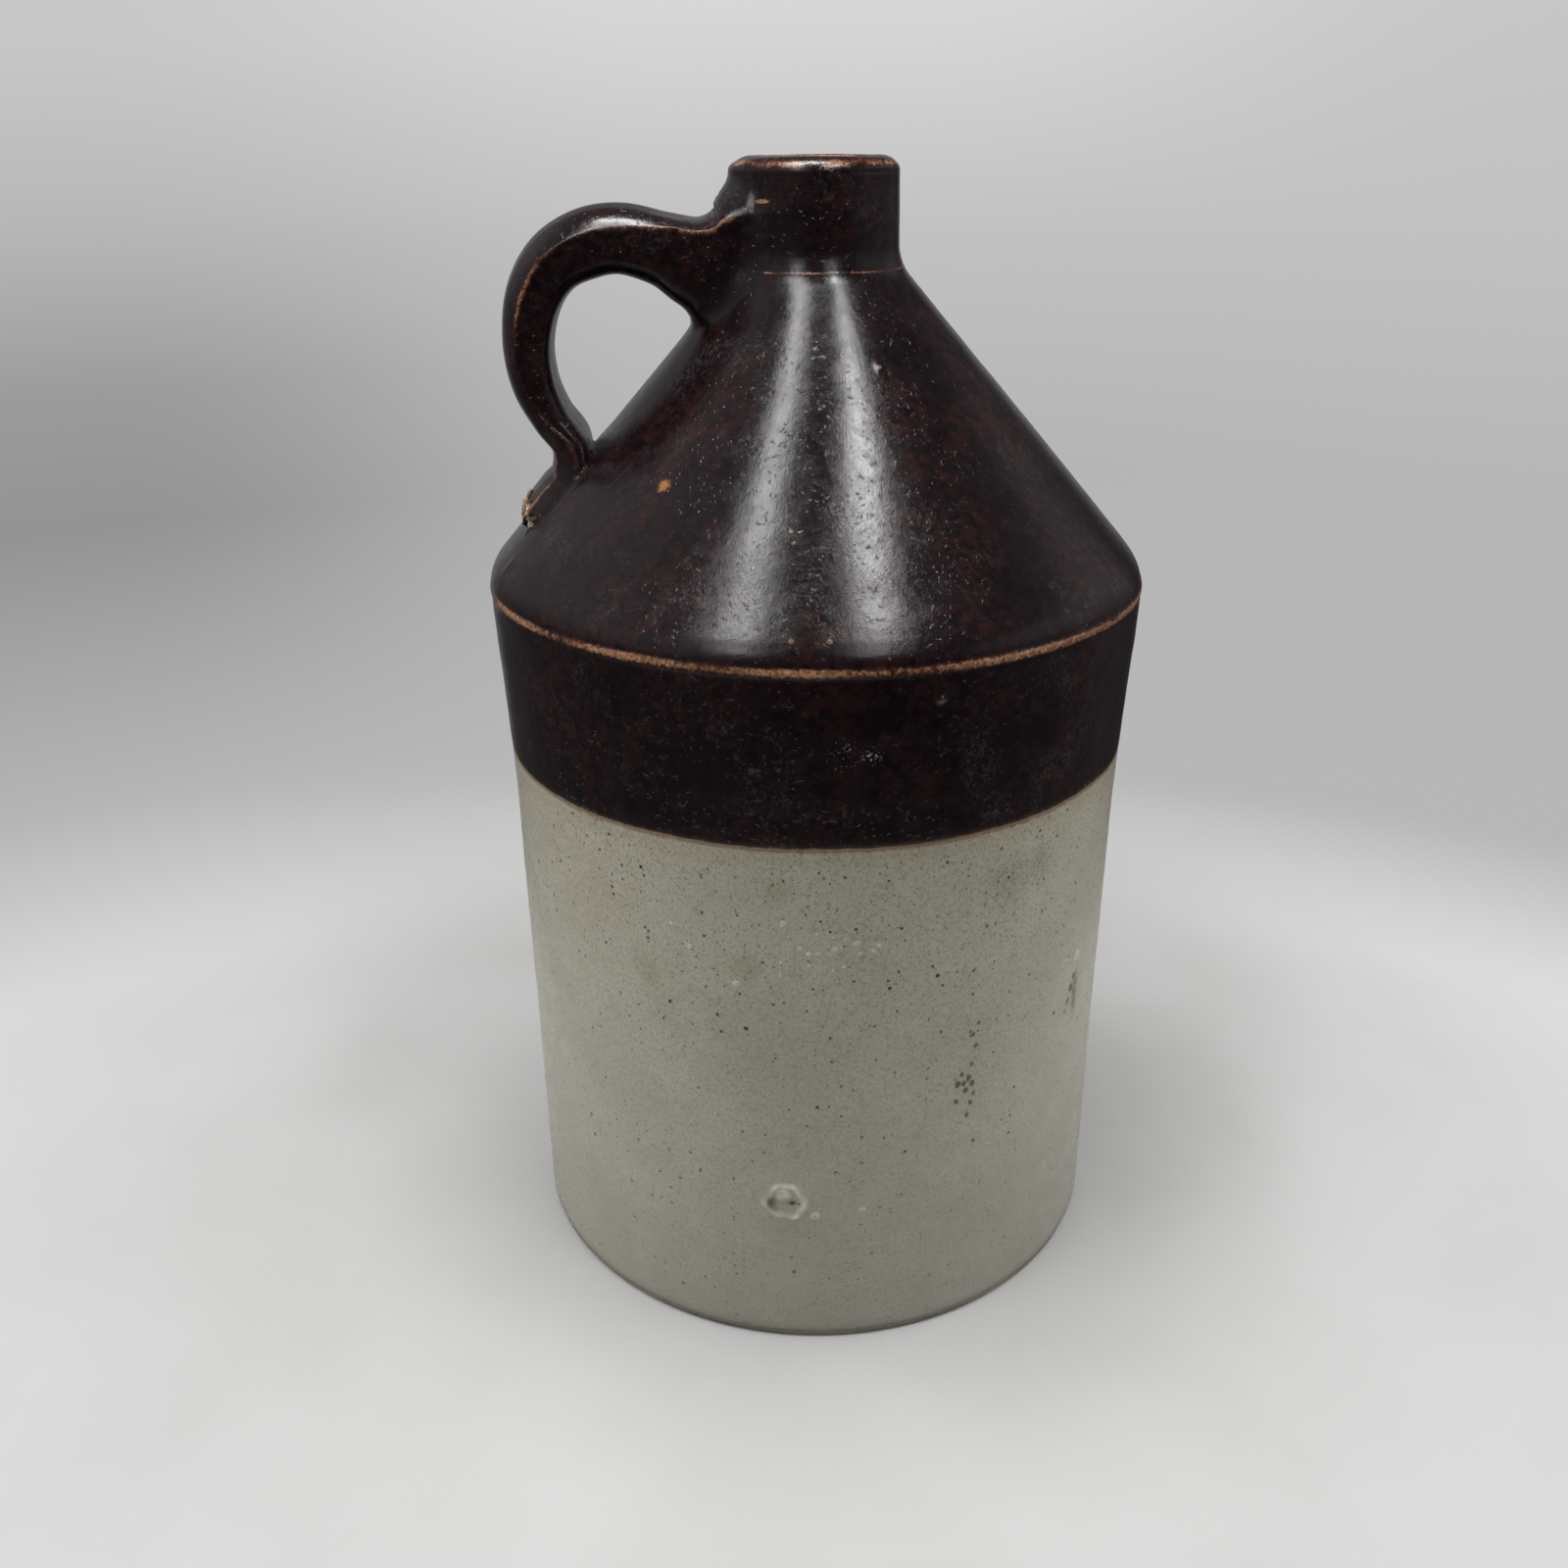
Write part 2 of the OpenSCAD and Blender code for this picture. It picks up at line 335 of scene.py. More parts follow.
def skin(line, line_normals, columns, depth=0.0):
    """Points of the real surface over an outline, depth mm under it, as an array of rows of columns."""
    az = np.arange(columns) * 360 / columns
    r, h = line[:, :1], line[:, 1:]
    up = sway(az[None, :], h)
    off = relief(az[None, :], h + up) - depth
    radius = r + line_normals[:, :1] * off
    height = h + up + line_normals[:, 1:] * off
    a = np.radians(az)[None, :]
    return np.stack([radius * np.cos(a), radius * np.sin(a), height + 0 * a], 2)


# The handle

# The strap: how far the loop reaches from the axis, where it meets the cone, its top, its width and
# thickness, and the length and height of its tail on the cone
LOOP_REACH = 73.4
LOOP_FOOT = (64.0, 226.36)
LOOP_TOP_H = 281.5
STRAP_W = 26.0
STRAP_T = 13.0
TAIL_L = 17.0
TAIL_PROUD = 3.6

# The loop from the neck to its foot, as shares of (reach past the neck, height over the foot, width,
# thickness)
LOOP_SHARES = [
    (-0.20, 0.875, 1.10, 2.60), (0.00, 0.875, 1.09, 2.52), (0.10, 0.877, 1.07, 2.08),
    (0.20, 0.90, 1.04, 1.65), (0.33, 0.948, 1.01, 1.34), (0.52, 0.995, 1.00, 1.27),
    (0.69, 0.975, 1.00, 1.27), (0.85, 0.895, 1.00, 1.18), (0.957, 0.745, 1.00, 1.09),
    (1.00, 0.55, 1.00, 0.98), (0.98, 0.365, 1.00, 0.90), (0.91, 0.21, 1.02, 0.80),
    (0.825, 0.085, 1.10, 0.77),
]

# The same on the tail, as shares of (length down the cone, height off the cone, width, thickness)
TAIL_SHARES = [
    (0.18, 0.40, 1.24, 2.80), (0.50, 0.40, 1.36, 2.80), (0.80, 0.40, 1.40, 2.75),
    (0.93, 0.45, 1.32, 2.65), (1.00, 0.60, 1.10, 2.40),
]

# The crease's height on the section, and the powers that shape its crowned outside and its flat inside
CREASE_SHARE = 0.32
ROOT_CREASE_SHARE = 0.7
FOOT_CREASE_SHARE = -0.7
CROWN_POWER = 0.62
TAIL_CROWN_POWER = 0.33
INNER_SQUARE = 4.2

# Points round the strap, rings between two entries of the tables, and points that the section is
# measured from
STRAP_SIDES = 132
STRAP_STEPS = 14
SECTION_SAMPLES = 6001

# The fillets' sizes at the foot, under the root and on top of the root, how far off and how deep under the
# other form they are looked for, and the steps that draw a point to them
FOOT_BLEND = 0.9
WEB_BLEND = 5.0
ROOT_BLEND = 7.5
FILLET_FAR = 12
FILLET_DEEP = 6
FILLET_STEPS = 9
FILLET_STRIDE = 1.4

# Points that are looked up at once
BATCH = 20000


def strap_line():
    """The strap's centre line with its section, dense and smooth."""
    neck_r, foot = CONE_TOP[0], np.array(LOOP_FOOT)
    cone = np.array(CONE_TOP) - np.array(CONE_FOOT)
    cone = cone / np.linalg.norm(cone)
    inwards = np.array([-cone[1], cone[0]])
    points = []
    for o, u, w, t in LOOP_SHARES:
        r, h = neck_r + o * (LOOP_REACH - neck_r), foot[1] + u * (LOOP_TOP_H - foot[1])
        points.append((r, h, w * STRAP_W, t * STRAP_T))
    for s, d, w, t in TAIL_SHARES:
        r, h = foot - s * TAIL_L * cone + d * TAIL_PROUD * inwards
        points.append((r, h, w * STRAP_W, t * TAIL_PROUD))
    p = np.array(points)
    out = []
    for i in range(len(p) - 1):
        a, b, c, d = p[max(i - 1, 0)], p[i], p[i + 1], p[min(i + 2, len(p) - 1)]
        for t in np.arange(STRAP_STEPS) / STRAP_STEPS:
            curve = (2 * a - 5 * b + 4 * c - d) * t * t + (3 * b - a - 3 * c + d) * t ** 3
            out.append((2 * b + (c - a) * t + curve) / 2)
    out.append(p[-1])
    return np.array(out)


def in_plane(pairs):
    """Points or directions in the handle's plane, from (distance from the axis, height), one to a ring."""
    return np.stack([-pairs[:, 0], 0 * pairs[:, 0], pairs[:, 1]], 1)[:, None, :]


STRAP = strap_line()
STRAP_DIR = np.gradient(STRAP[:, :2], axis=0)
STRAP_DIR /= np.linalg.norm(STRAP_DIR, axis=1)[:, None]
STRAP_OUT = np.stack([-STRAP_DIR[:, 1], STRAP_DIR[:, 0]], 1)

# How high up the section the crease between the strap's side and its crowned outer face runs: high at
# the root. Towards the foot, where a thumb spread the clay, the crown takes over and the side runs out
ROOT_END, ROOT_START = 3.7 * STRAP_STEPS, 5.3 * STRAP_STEPS
FOOT_START, FOOT_END = (len(LOOP_SHARES) - 4) * STRAP_STEPS, (len(LOOP_SHARES) + 1) * STRAP_STEPS
STEP = np.arange(len(STRAP))
TO_FOOT = smooth(FOOT_START, FOOT_END, STEP)
TO_ROOT = smooth(ROOT_START, ROOT_END, STEP)
CREASE = CREASE_SHARE + (FOOT_CREASE_SHARE - CREASE_SHARE) * TO_FOOT
CREASE += (ROOT_CREASE_SHARE - CREASE_SHARE) * TO_ROOT

# How full the crown is: round on the loop, flat with steep sides on the tail
CROWN = CROWN_POWER + (TAIL_CROWN_POWER - CROWN_POWER) * TO_FOOT


def nearest(points, line):
    """The number of the line's point that is nearest to each point."""
    batches = [points[i:i + BATCH, None, :] for i in range(0, len(points), BATCH)]
    return np.concatenate([np.linalg.norm(batch - line[None, :, :], axis=2).argmin(1) for batch in batches])


def strap_distance(points):
    """Rough signed distance to the strap, below 0 inside."""
    flat = np.stack([-points[:, 0], points[:, 2]], 1)
    index = nearest(flat, STRAP[:, :2])
    rel = flat - STRAP[index, :2]
    out = (rel * STRAP_OUT[index]).sum(1)
    past = (rel * STRAP_DIR[index]).sum(1)
    a, b = STRAP[index, 2] / 2, STRAP[index, 3] / 2
    crease = CREASE[index] * b
    crown = out > crease
    depth = np.where(crown, b - crease, b + crease)
    ex = np.where(crown, 2.0, INNER_SQUARE)
    ey = np.where(crown, 1 / CROWN[index], INNER_SQUARE)
    x = np.maximum(abs(points[:, 1]) / a, 1e-4)
    y = np.maximum(abs(out - crease) / depth, 1e-4)
    f = x ** ex + y ** ey
    q = f ** (1 / ex)
    slope = f ** (1 / ex - 1) / ex * np.hypot(ex * x ** (ex - 1) / a, ey * y ** (ey - 1) / depth)
    side = (q - 1) / np.maximum(slope, 0.3 / b)
    ends = (index == 0) | (index == len(STRAP) - 1)
    return np.where(ends, np.maximum(side, abs(past)), side)


def body_distance(points):
    """Signed distance to the jug's outer surface, relief and all, below 0 inside."""
    x, y, h = points.T
    flat = np.stack([np.hypot(x, y), h], 1)
    i = nearest(flat, OUTLINE)
    return ((flat - OUTLINE[i]) * OUTLINE_NORMALS[i]).sum(1) - relief(np.degrees(np.arctan2(y, x)), h)


def merged(body, strap, k):
    """Distance to both together, with a fillet of about k between them."""
    share = np.clip(0.5 + 0.5 * (strap - body) / k, 0, 1)
    return strap * (1 - share) + body * share - k * share * (1 - share)


def fillet_size(points):
    """The root is wiped on with a wide fillet on top, the foot with a narrow one."""
    h = points[:, 2]
    off = abs(turned(np.degrees(np.arctan2(points[:, 1], points[:, 0])), 180))
    web = FOOT_BLEND + (WEB_BLEND - FOOT_BLEND) * smooth(235, 262, h)
    top = smooth(274, 284, h) * smooth(299, 291, h) * smooth(44, 24, off)
    return web + (ROOT_BLEND - web) * top


def drawn_to_fillet(points, out, own, other):
    """Moves points along `out` until they lie on the fillet between their own form and the other."""
    moved = points.copy()
    travel = np.zeros(len(points))
    reach = fillet_size(points) * 1.05
    for _ in range(FILLET_STEPS):
        d_own, d_other = own(moved), other(moved)
        k = fillet_size(moved)
        tuck = 0.05 * smooth(0.3 * k, -0.3 * k, d_other - d_own)
        step = np.clip(-merged(d_own, d_other, k) - tuck, -FILLET_STRIDE, FILLET_STRIDE)
        travel = np.clip(travel + step, 0, reach)
        moved = points + out * travel[:, None]
    return moved


def point_normals(grid):
    """Unit normals of a grid of rings, which run the way that grid_object's faces do."""
    n = np.cross(np.roll(grid, -1, 1) - np.roll(grid, 1, 1), np.gradient(grid, axis=0))
    return n / np.maximum(np.linalg.norm(n, axis=2), 1e-9)[:, :, None]


STRAP_RIPPLE = Waves(31, 16, 12, 40)
TEAR = Waves(37, 20, 18, 9)

# The tail's own edges, where the thumb left off: how far across they run, and where they start
TAIL_EDGE_X = 0.7
TAIL_EDGE = smooth(FOOT_START + 0.9 * STRAP_STEPS, FOOT_END - 1.4 * STRAP_STEPS, STEP)


def section():
    """The strap's section, 2 wide and 2 thick: crowned outside, creased at its outer edges, flat inside.

    Gives its points' places across, their rise from the crease (1 at the crown, -1 inside), closer
    together at the edges, and how near each is to an outer or an inner edge."""
    a = np.linspace(0, FULL_TURN, SECTION_SAMPLES)
    outer = np.sin(a) > 0
    e = np.where(outer, 2.0, INNER_SQUARE)
    cx = np.sign(np.cos(a)) * abs(np.cos(a)) ** (2 / e)
    rise = np.where(outer, np.maximum(1 - cx ** 2, 0) ** CROWN_POWER, -abs(np.sin(a)) ** (2 / e))
    cy = CREASE_SHARE + np.where(outer, 1 - CREASE_SHARE, 1 + CREASE_SHARE) * rise
    outer_edge = hump(np.hypot((abs(cx) - 1) * 2, cy - CREASE_SHARE), 0, 0.11)
    inner_edge = hump(np.hypot((abs(cx) - 0.93) * 2, cy + 0.85), 0, 0.14)
    edge = outer_edge + 0.5 * inner_edge
    step = np.hypot(np.diff(2 * cx), np.diff(cy)) * (1 + 1.6 * edge[1:])
    s = np.concatenate([[0], np.cumsum(step)])
    at = np.arange(STRAP_SIDES) * s[-1] / STRAP_SIDES
    return [np.interp(at, s, values) for values in (cx, rise, outer_edge, inner_edge)]


SECTION = section()


def strap_grid():
    """Rings of the pulled strap: faint pull lines along it, raised edges, and a torn tail."""
    rings = []
    across, rise, outer_edge, inner_edge = SECTION
    on_crown = rise > 0
    for i, s in enumerate(along(STRAP[:, :2])):
        w, t = STRAP[i, 2:]
        up = np.where(on_crown, abs(rise) ** (CROWN[i] / CROWN_POWER), rise)
        up = CREASE[i] + np.where(on_crown, 1 - CREASE[i], 1 + CREASE[i]) * up
        a = np.arctan2(up * t, across * w)
        tail_edge = TAIL_EDGE[i] * hump(abs(across), TAIL_EDGE_X, 0.1) * on_crown
        grow = 0.3 * outer_edge + 0.12 * inner_edge + 0.5 * tail_edge
        grow = grow + 0.07 * STRAP_RIPPLE(np.degrees(a), s * 0.35)
        side = w / 2 * across + grow * np.cos(a)
        flat = STRAP[i, :2] + (t / 2 * up + grow * np.sin(a))[:, None] * STRAP_OUT[i]
        rings.append(np.stack([-flat[:, 0], side, flat[:, 1]], 1))
    return np.array(rings)


# Materials

class Graph:
    """Short calls for building a tree of shader nodes."""

    def __init__(self, owner):
        owner.use_nodes = True
        self.nodes = owner.node_tree.nodes
        self.links = owner.node_tree.links
        self.nodes.clear()

    def put(self, socket, value):
        """Sets a socket to a number, a colour or another node's output."""
        if isinstance(value, bpy.types.NodeSocket):
            self.links.new(value, socket)
        else:
            socket.default_value = value

    def node(self, kind, inputs=None, **settings):
        """A node of a kind with its settings, and its inputs set by name or number."""
        node = self.nodes.new("ShaderNode" + kind)
        for name, value in settings.items():
            setattr(node, name, value)
        for key, value in (inputs or {}).items():
            self.put(node.inputs[key], value)
        return node

    def ramp(self, value, low, high, a=0.0, b=1.0):
        """Maps low to a and high to b, smoothly, and holds it there."""
        inputs = {"Value": value, "From Min": low, "From Max": high, "To Min": a, "To Max": b}
        return self.node("MapRange", inputs, interpolation_type="SMOOTHSTEP").outputs[0]

    def mix(self, share, a, b):
        """Colour a turning into colour b as share goes from 0 to 1."""
        a, b = (c if isinstance(c, bpy.types.NodeSocket) else (*c, 1) for c in (a, b))
        return self.node("Mix", {"Factor": share, 6: a, 7: b}, data_type="RGBA").outputs[2]


class Tree(Graph):
    """A material of glaze, clay or floor, worked out in millimetres of the jug's own frame.

    Its colour is what the layers laid so far make.
    """

    def __init__(self, name):
        self.material = bpy.data.materials.new(name)
        super().__init__(self.material)
        self.shader = self.node("BsdfPrincipled")
        self.node("OutputMaterial", {"Surface": self.shader.outputs["BSDF"]})
        self.place = self.stretched(self.node("TexCoord").outputs["Object"], (1 / MM,) * 3)
        self.colour = None

    def stretched(self, vector, by):
        return self.node("VectorMath", {0: vector, 1: by}, operation="MULTIPLY").outputs[0]

    def length(self, vector):
        return self.node("VectorMath", {0: vector}, operation="LENGTH").outputs["Value"]

    def math(self, operation, a, b):
        return self.node("Math", {0: a, 1: b}, operation=operation).outputs[0]

    def times(self, a, b):
        return self.math("MULTIPLY", a, b)

    def plus(self, *values):
        return reduce(lambda a, b: self.math("ADD", a, b), values)

    def most(self, *values):
        return reduce(lambda a, b: self.math("MAXIMUM", a, b), values)

    def wobble(self, noise, by):
        """The noise turned into a swing round 0, of by in all."""
        return self.times(self.math("SUBTRACT", noise, 0.5), by)

    def noise(self, size, detail=3.0, rough=0.55, place=None, distortion=0.0):
        """Noise whose features are about size mm."""
        inputs = {"Vector": place or self.place, "Scale": 1 / size, "Detail": detail}
        inputs.update({"Roughness": rough, "Distortion": distortion})
        return self.node("TexNoise", inputs).outputs["Fac"]

    def over(self, colour, share, rgb, most=1.0):
        """Lays a screen colour over another colour by a share, most at the highest."""
        return self.mix(share if most == 1.0 else self.times(share, most), colour, srgb(*rgb))

    def lay(self, share, rgb, most=1.0):
        """Lays a screen colour over the material's colour so far."""
        self.colour = self.over(self.colour, share, rgb, most)

    def attribute(self, name):
        return self.node("Attribute", attribute_name=name).outputs["Fac"]

    def specks(self, size, radius, share, place=None):
        """Round specks up to radius mm in a share of random cells about size mm wide."""
        cells = self.node("TexVoronoi", {"Vector": place or self.place, "Scale": 1 / size})
        number = self.node("SeparateColor", {0: cells.outputs["Color"]}).outputs[0]
        chosen = self.ramp(number, 1 - share, 1 - share + 0.02)
        grown = self.times(self.ramp(number, 1 - share, 1.0, 0.4, 1.0), radius / size)
        inside = self.math("SUBTRACT", grown, cells.outputs["Distance"])
        return self.times(self.ramp(inside, 0.0, 0.35 * radius / size), chosen)

    def spot(self, az, h, radius, soft=0.5, rag=0.0, tall=1.0):
        """A spot at a place on the jug's outside: 1 inside its radius, fading over soft mm."""
        r = float(np.interp(h, OUTLINE[:, 1], OUTLINE[:, 0]))
        centre = (r * math.cos(math.radians(az)), r * math.sin(math.radians(az)), h)
        off = self.node("VectorMath", {0: self.place, 1: centre}, operation="SUBTRACT").outputs[0]
        if tall != 1.0:
            off = self.stretched(off, (1, 1, 1 / tall))
        d = self.length(off)
        if rag:
            d = self.plus(d, self.wobble(self.fine, rag))
        return self.ramp(d, radius + soft, radius - soft)

    def spots(self, places, soft, rag=0.0, grow=1.0, tall=1.0):
        """Spots at places given as (azimuth, height, radius)."""
        return self.most(*[self.spot(az, h, grow * r, soft, rag, tall) for az, h, r in places])

    def finished(self, rough, *bumps):
        """The material with its colour so far, its roughness, and bumps given as (height, depth in mm)."""
        self.put(self.shader.inputs["Base Color"], self.colour)
        self.put(self.shader.inputs["Roughness"], rough)
        normal = None
        for height, depth in bumps:
            inputs = {"Strength": 1.0, "Distance": depth * MM, "Height": height}
            if normal is not None:
                inputs["Normal"] = normal
            normal = self.node("Bump", inputs).outputs[0]
        if normal is not None:
            self.put(self.shader.inputs["Normal"], normal)
        return self.material


# How strongly the glazes bend light
GLAZE_IOR = 1.5


def srgb(r, g, b):
    """A colour given as it shows on a screen, 0 to 255."""
    return tuple(c / 255 / 12.92 if c <= 10 else ((c / 255 + 0.055) / 1.055) ** 2.4 for c in (r, g, b))


# Azimuth, height, radius of the tan pinholes in the brown glaze
TAN_PINHOLES = [
    (-99.4, 222.8, 0.5), (-98.4, 202.8, 0.62), (-92.8, 202.8, 0.66), (-72.5, 254.3, 0.7),
    (-75.4, 174.3, 0.5), (-133.5, 226.9, 0.6), (-104.3, 171.6, 0.4), (-116, 243, 0.35),
    (-62, 214, 0.35), (-84.0, 199.0, 0.4), (20.0, 219.0, 0.9), (121.0, 171.0, 0.8), (74, 231, 0.6),
    (55, 181, 0.5), (150, 215, 0.6), (-18, 240, 0.5),
]


def brown_glaze():
    """Dark, glossy slip glaze: faint red mottling, tan where it runs thin and as a painted highlight on the
    lip, pits, dust and scratches.
    """
    t = Tree("brown_glaze")
    t.fine = t.noise(1.1, 3)
    tan = t.attribute("tan")
    film = t.attribute("film")
    torn = t.ramp(t.attribute("torn"), 0.3, 0.8)
    cloudy = t.ramp(t.noise(24, 4, 0.6), 0.36, 0.62, 0.15, 1.0)
    red = t.times(cloudy, t.ramp(t.noise(2.6, 4, 0.6, distortion=0.4), 0.36, 0.7))
    t.colour = t.mix(t.ramp(t.noise(9, 4, 0.6), 0.35, 0.7), srgb(9, 5, 7), srgb(17, 10, 13))
    t.lay(red, (46, 22, 22), 0.7)
    brushed = t.noise(3, 3, 0.6, t.stretched(t.place, (1, 1, 0.2)))
    t.lay(t.ramp(brushed, 0.55, 0.8, 0, 0.3), (40, 26, 24))
    t.lay(t.specks(1.15, 0.3, 0.6), (9, 5, 6))

    # Tan edges, pinholes and small scuffs
    grit = t.noise(0.6, 3, 0.65)
    clump = t.noise(2.4, 3, 0.6)
    uneven = t.times(t.math("SUBTRACT", t.plus(t.fine, clump), 1.0), 0.8)
    tan_all = t.times(t.ramp(t.plus(tan, uneven), 0.2, 0.95), t.ramp(tan, 0.03, 0.25))
    pins = t.spots(TAN_PINHOLES, 0.25, 0.7)
    cores = t.spots([p for p in TAN_PINHOLES if p[2] > 0.5], 0.15, grow=0.45)
    dash = t.times(t.spot(-104.3, 172.4, 1.9, 0.5, 1.4, tall=0.28), t.ramp(t.fine, 0.35, 0.55))
    crack = t.spot(-132.3, 290.0, 1.9, 0.4, 1.6, tall=0.25)
    scuff = t.times(t.spot(-75.9, 188.6, 1.3, 0.4, 1.6), t.ramp(t.fine, 0.4, 0.6))
    marks = [(pins, 0.75), (dash, 0.55), (crack, 0.9), (scuff, 0.8)]
    tan_all = t.most(tan_all, *[t.times(mark, share) for mark, share in marks])
    tan_colour = t.mix(t.ramp(grit, 0.32, 0.66), srgb(92, 58, 40), srgb(170, 130, 97))
    tan_colour = t.over(tan_colour, t.ramp(clump, 0.46, 0.7, 0, 0.85), (88, 54, 38))
    tan_colour = t.over(tan_colour, t.ramp(tan_all, 0.95, 0.4), (80, 44, 32))
    t.colour = t.mix(tan_all, t.colour, tan_colour)
    t.lay(cores, (46, 20, 18), 0.8)
    orange = t.times(t.spot(-131.3, 229.9, 1.7, 0.8, 2.4), t.ramp(grit, 0.25, 0.6, 0.45, 0.9))
    t.lay(orange, (150, 102, 54))
    t.lay(t.specks(4.0, 0.26, 0.4), (150, 138, 128), 0.5)

    # The thin brown edge along the glaze line, a white chip, the torn clay and dust
    thin = t.plus(film, t.wobble(t.noise(2.2, 3), 0.5))
    edge_colour = t.mix(t.ramp(thin, 0.30, 0.0), srgb(52, 32, 24), srgb(120, 78, 44))
    t.colour = t.mix(t.ramp(thin, 0.9, 0.1, 0, 0.9), t.colour, edge_colour)
    cluster = t.times(t.spot(-86.2, 175.8, 2.2, 1.6, 2.0, tall=0.7), t.ramp(t.noise(0.5, 2), 0.6, 0.66))
    few = t.times(t.spot(-90.4, 176.6, 3.2, 2.4, 2.0), t.ramp(t.noise(0.42, 2), 0.66, 0.7))
    chip = t.most(t.spot(-85.7, 175.4, 0.42, 0.12, 1.1, tall=0.6), cluster, few)
    t.lay(chip, (205, 200, 195))
    torn_colour = t.mix(t.ramp(grit, 0.38, 0.62), srgb(48, 34, 30), srgb(196, 172, 146))
    t.colour = t.mix(torn, t.colour, torn_colour)
    haze = t.ramp(t.noise(19, 4, 0.65), 0.5, 0.72)
    dusty = t.times(haze, t.ramp(t.noise(1.0, 4, 0.75), 0.45, 0.7))
    t.lay(dusty, (128, 124, 124), 0.13)
    rough = t.ramp(t.noise(4, 5, 0.7), 0.35, 0.7, 0.14, 0.23)
    rough = t.plus(rough, t.times(dusty, 0.2), t.times(tan_all, 0.06), t.times(torn, 0.5))

    # Scratches where hands go, and pits
    across = {"Vector": t.place, "Axis": (0.0, 1.0, 0.0), "Angle": 0.7}
    scratch_place = t.stretched(t.node("VectorRotate", across).outputs[0], (1.0, 0.5, 0.09))
    handled = t.most(t.spot(-108.0, 211.0, 9.0, 8.0), t.spot(-92.0, 212.0, 8.0, 8.0),
                     t.spot(-62.0, 222.0, 6.0, 6.0), t.spot(60.0, 220.0, 14.0, 8.0))
    scratches = t.times(t.ramp(t.noise(0.3, 2, 0.5, scratch_place), 0.58, 0.68), handled)
    pits = t.times(t.ramp(t.noise(1.3, 1, 0.5), 0.64, 0.72), t.ramp(t.noise(16, 3, 0.5), 0.4, 0.6))
    most_pitted = t.most(t.spot(-101.0, 236.0, 16.0, 14.0), t.spot(100.0, 226.0, 12.0, 12.0))
    pits = t.most(pits, t.times(t.specks(2.1, 0.42, 0.7), most_pitted))
    t.shader.inputs["IOR"].default_value = GLAZE_IOR
    return t.finished(
        rough, (t.noise(2.2, 3, 0.55), 0.042), (t.noise(0.4, 3, 0.65), 0.032),
        (t.times(pits, -1.0), 0.1), (t.times(scratches, -1.0), 0.02), (tan_all, 0.04),
    )


# Azimuth, height, radius of the brown stains, the pale blisters and the yellow tinges on the pale glaze
STAINS = [
    (-65.2, 96.5, 0.55), (-66.2, 93.4, 0.5), (-65.6, 89.7, 0.63), (-66.2, 84.3, 0.57),
    (-68.9, 79.1, 0.86), (-67.7, 78.9, 0.75), (-66.7, 80.1, 0.86), (-65.9, 78.1, 0.80),
    (-67.2, 76.4, 0.75), (-69.1, 73.7, 0.69), (-66.1, 72.1, 0.69), (-66.7, 68.3, 0.63),
    (-68.2, 81.9, 0.57), (-65.6, 74.7, 0.52), (-39.5, 91.0, 1.1), (-38.6, 94.0, 0.9),
    (-40.4, 87.2, 0.9), (-41.2, 84.6, 0.6), (140, 60, 0.9), (142, 57.5, 0.7), (30, 120, 0.8),
]
BLISTERS = [
    (-107.9, 113.5, 0.9), (-94.3, 123.3, 0.6), (-100.0, 131.5, 0.7), (-97.2, 124.8, 0.6),
    (-95.8, 123.3, 0.5), (-92.9, 123.4, 0.4), (-91.5, 124.5, 0.7), (-88.0, 126.0, 0.8),
    (-87.5, 123.0, 0.6), (-85.3, 123.5, 0.6), (-84.4, 125.0, 0.5), (-38.2, 100.4, 1.6),
    (-116.0, 122.0, 0.6), (-119.3, 127.5, 0.5), (-94.7, 42.7, 1.3), (-86.2, 44.0, 0.9),
    (85, 96, 0.8), (88, 99, 0.6), (12, 70, 0.9), (160, 120, 0.7),
]
TINGES = [
    (-124.2, 111.4, 3.2), (-106.5, 118.3, 4.0), (-101.0, 140.5, 3.0), (70, 60, 4.0), (175, 90, 5.0),
]


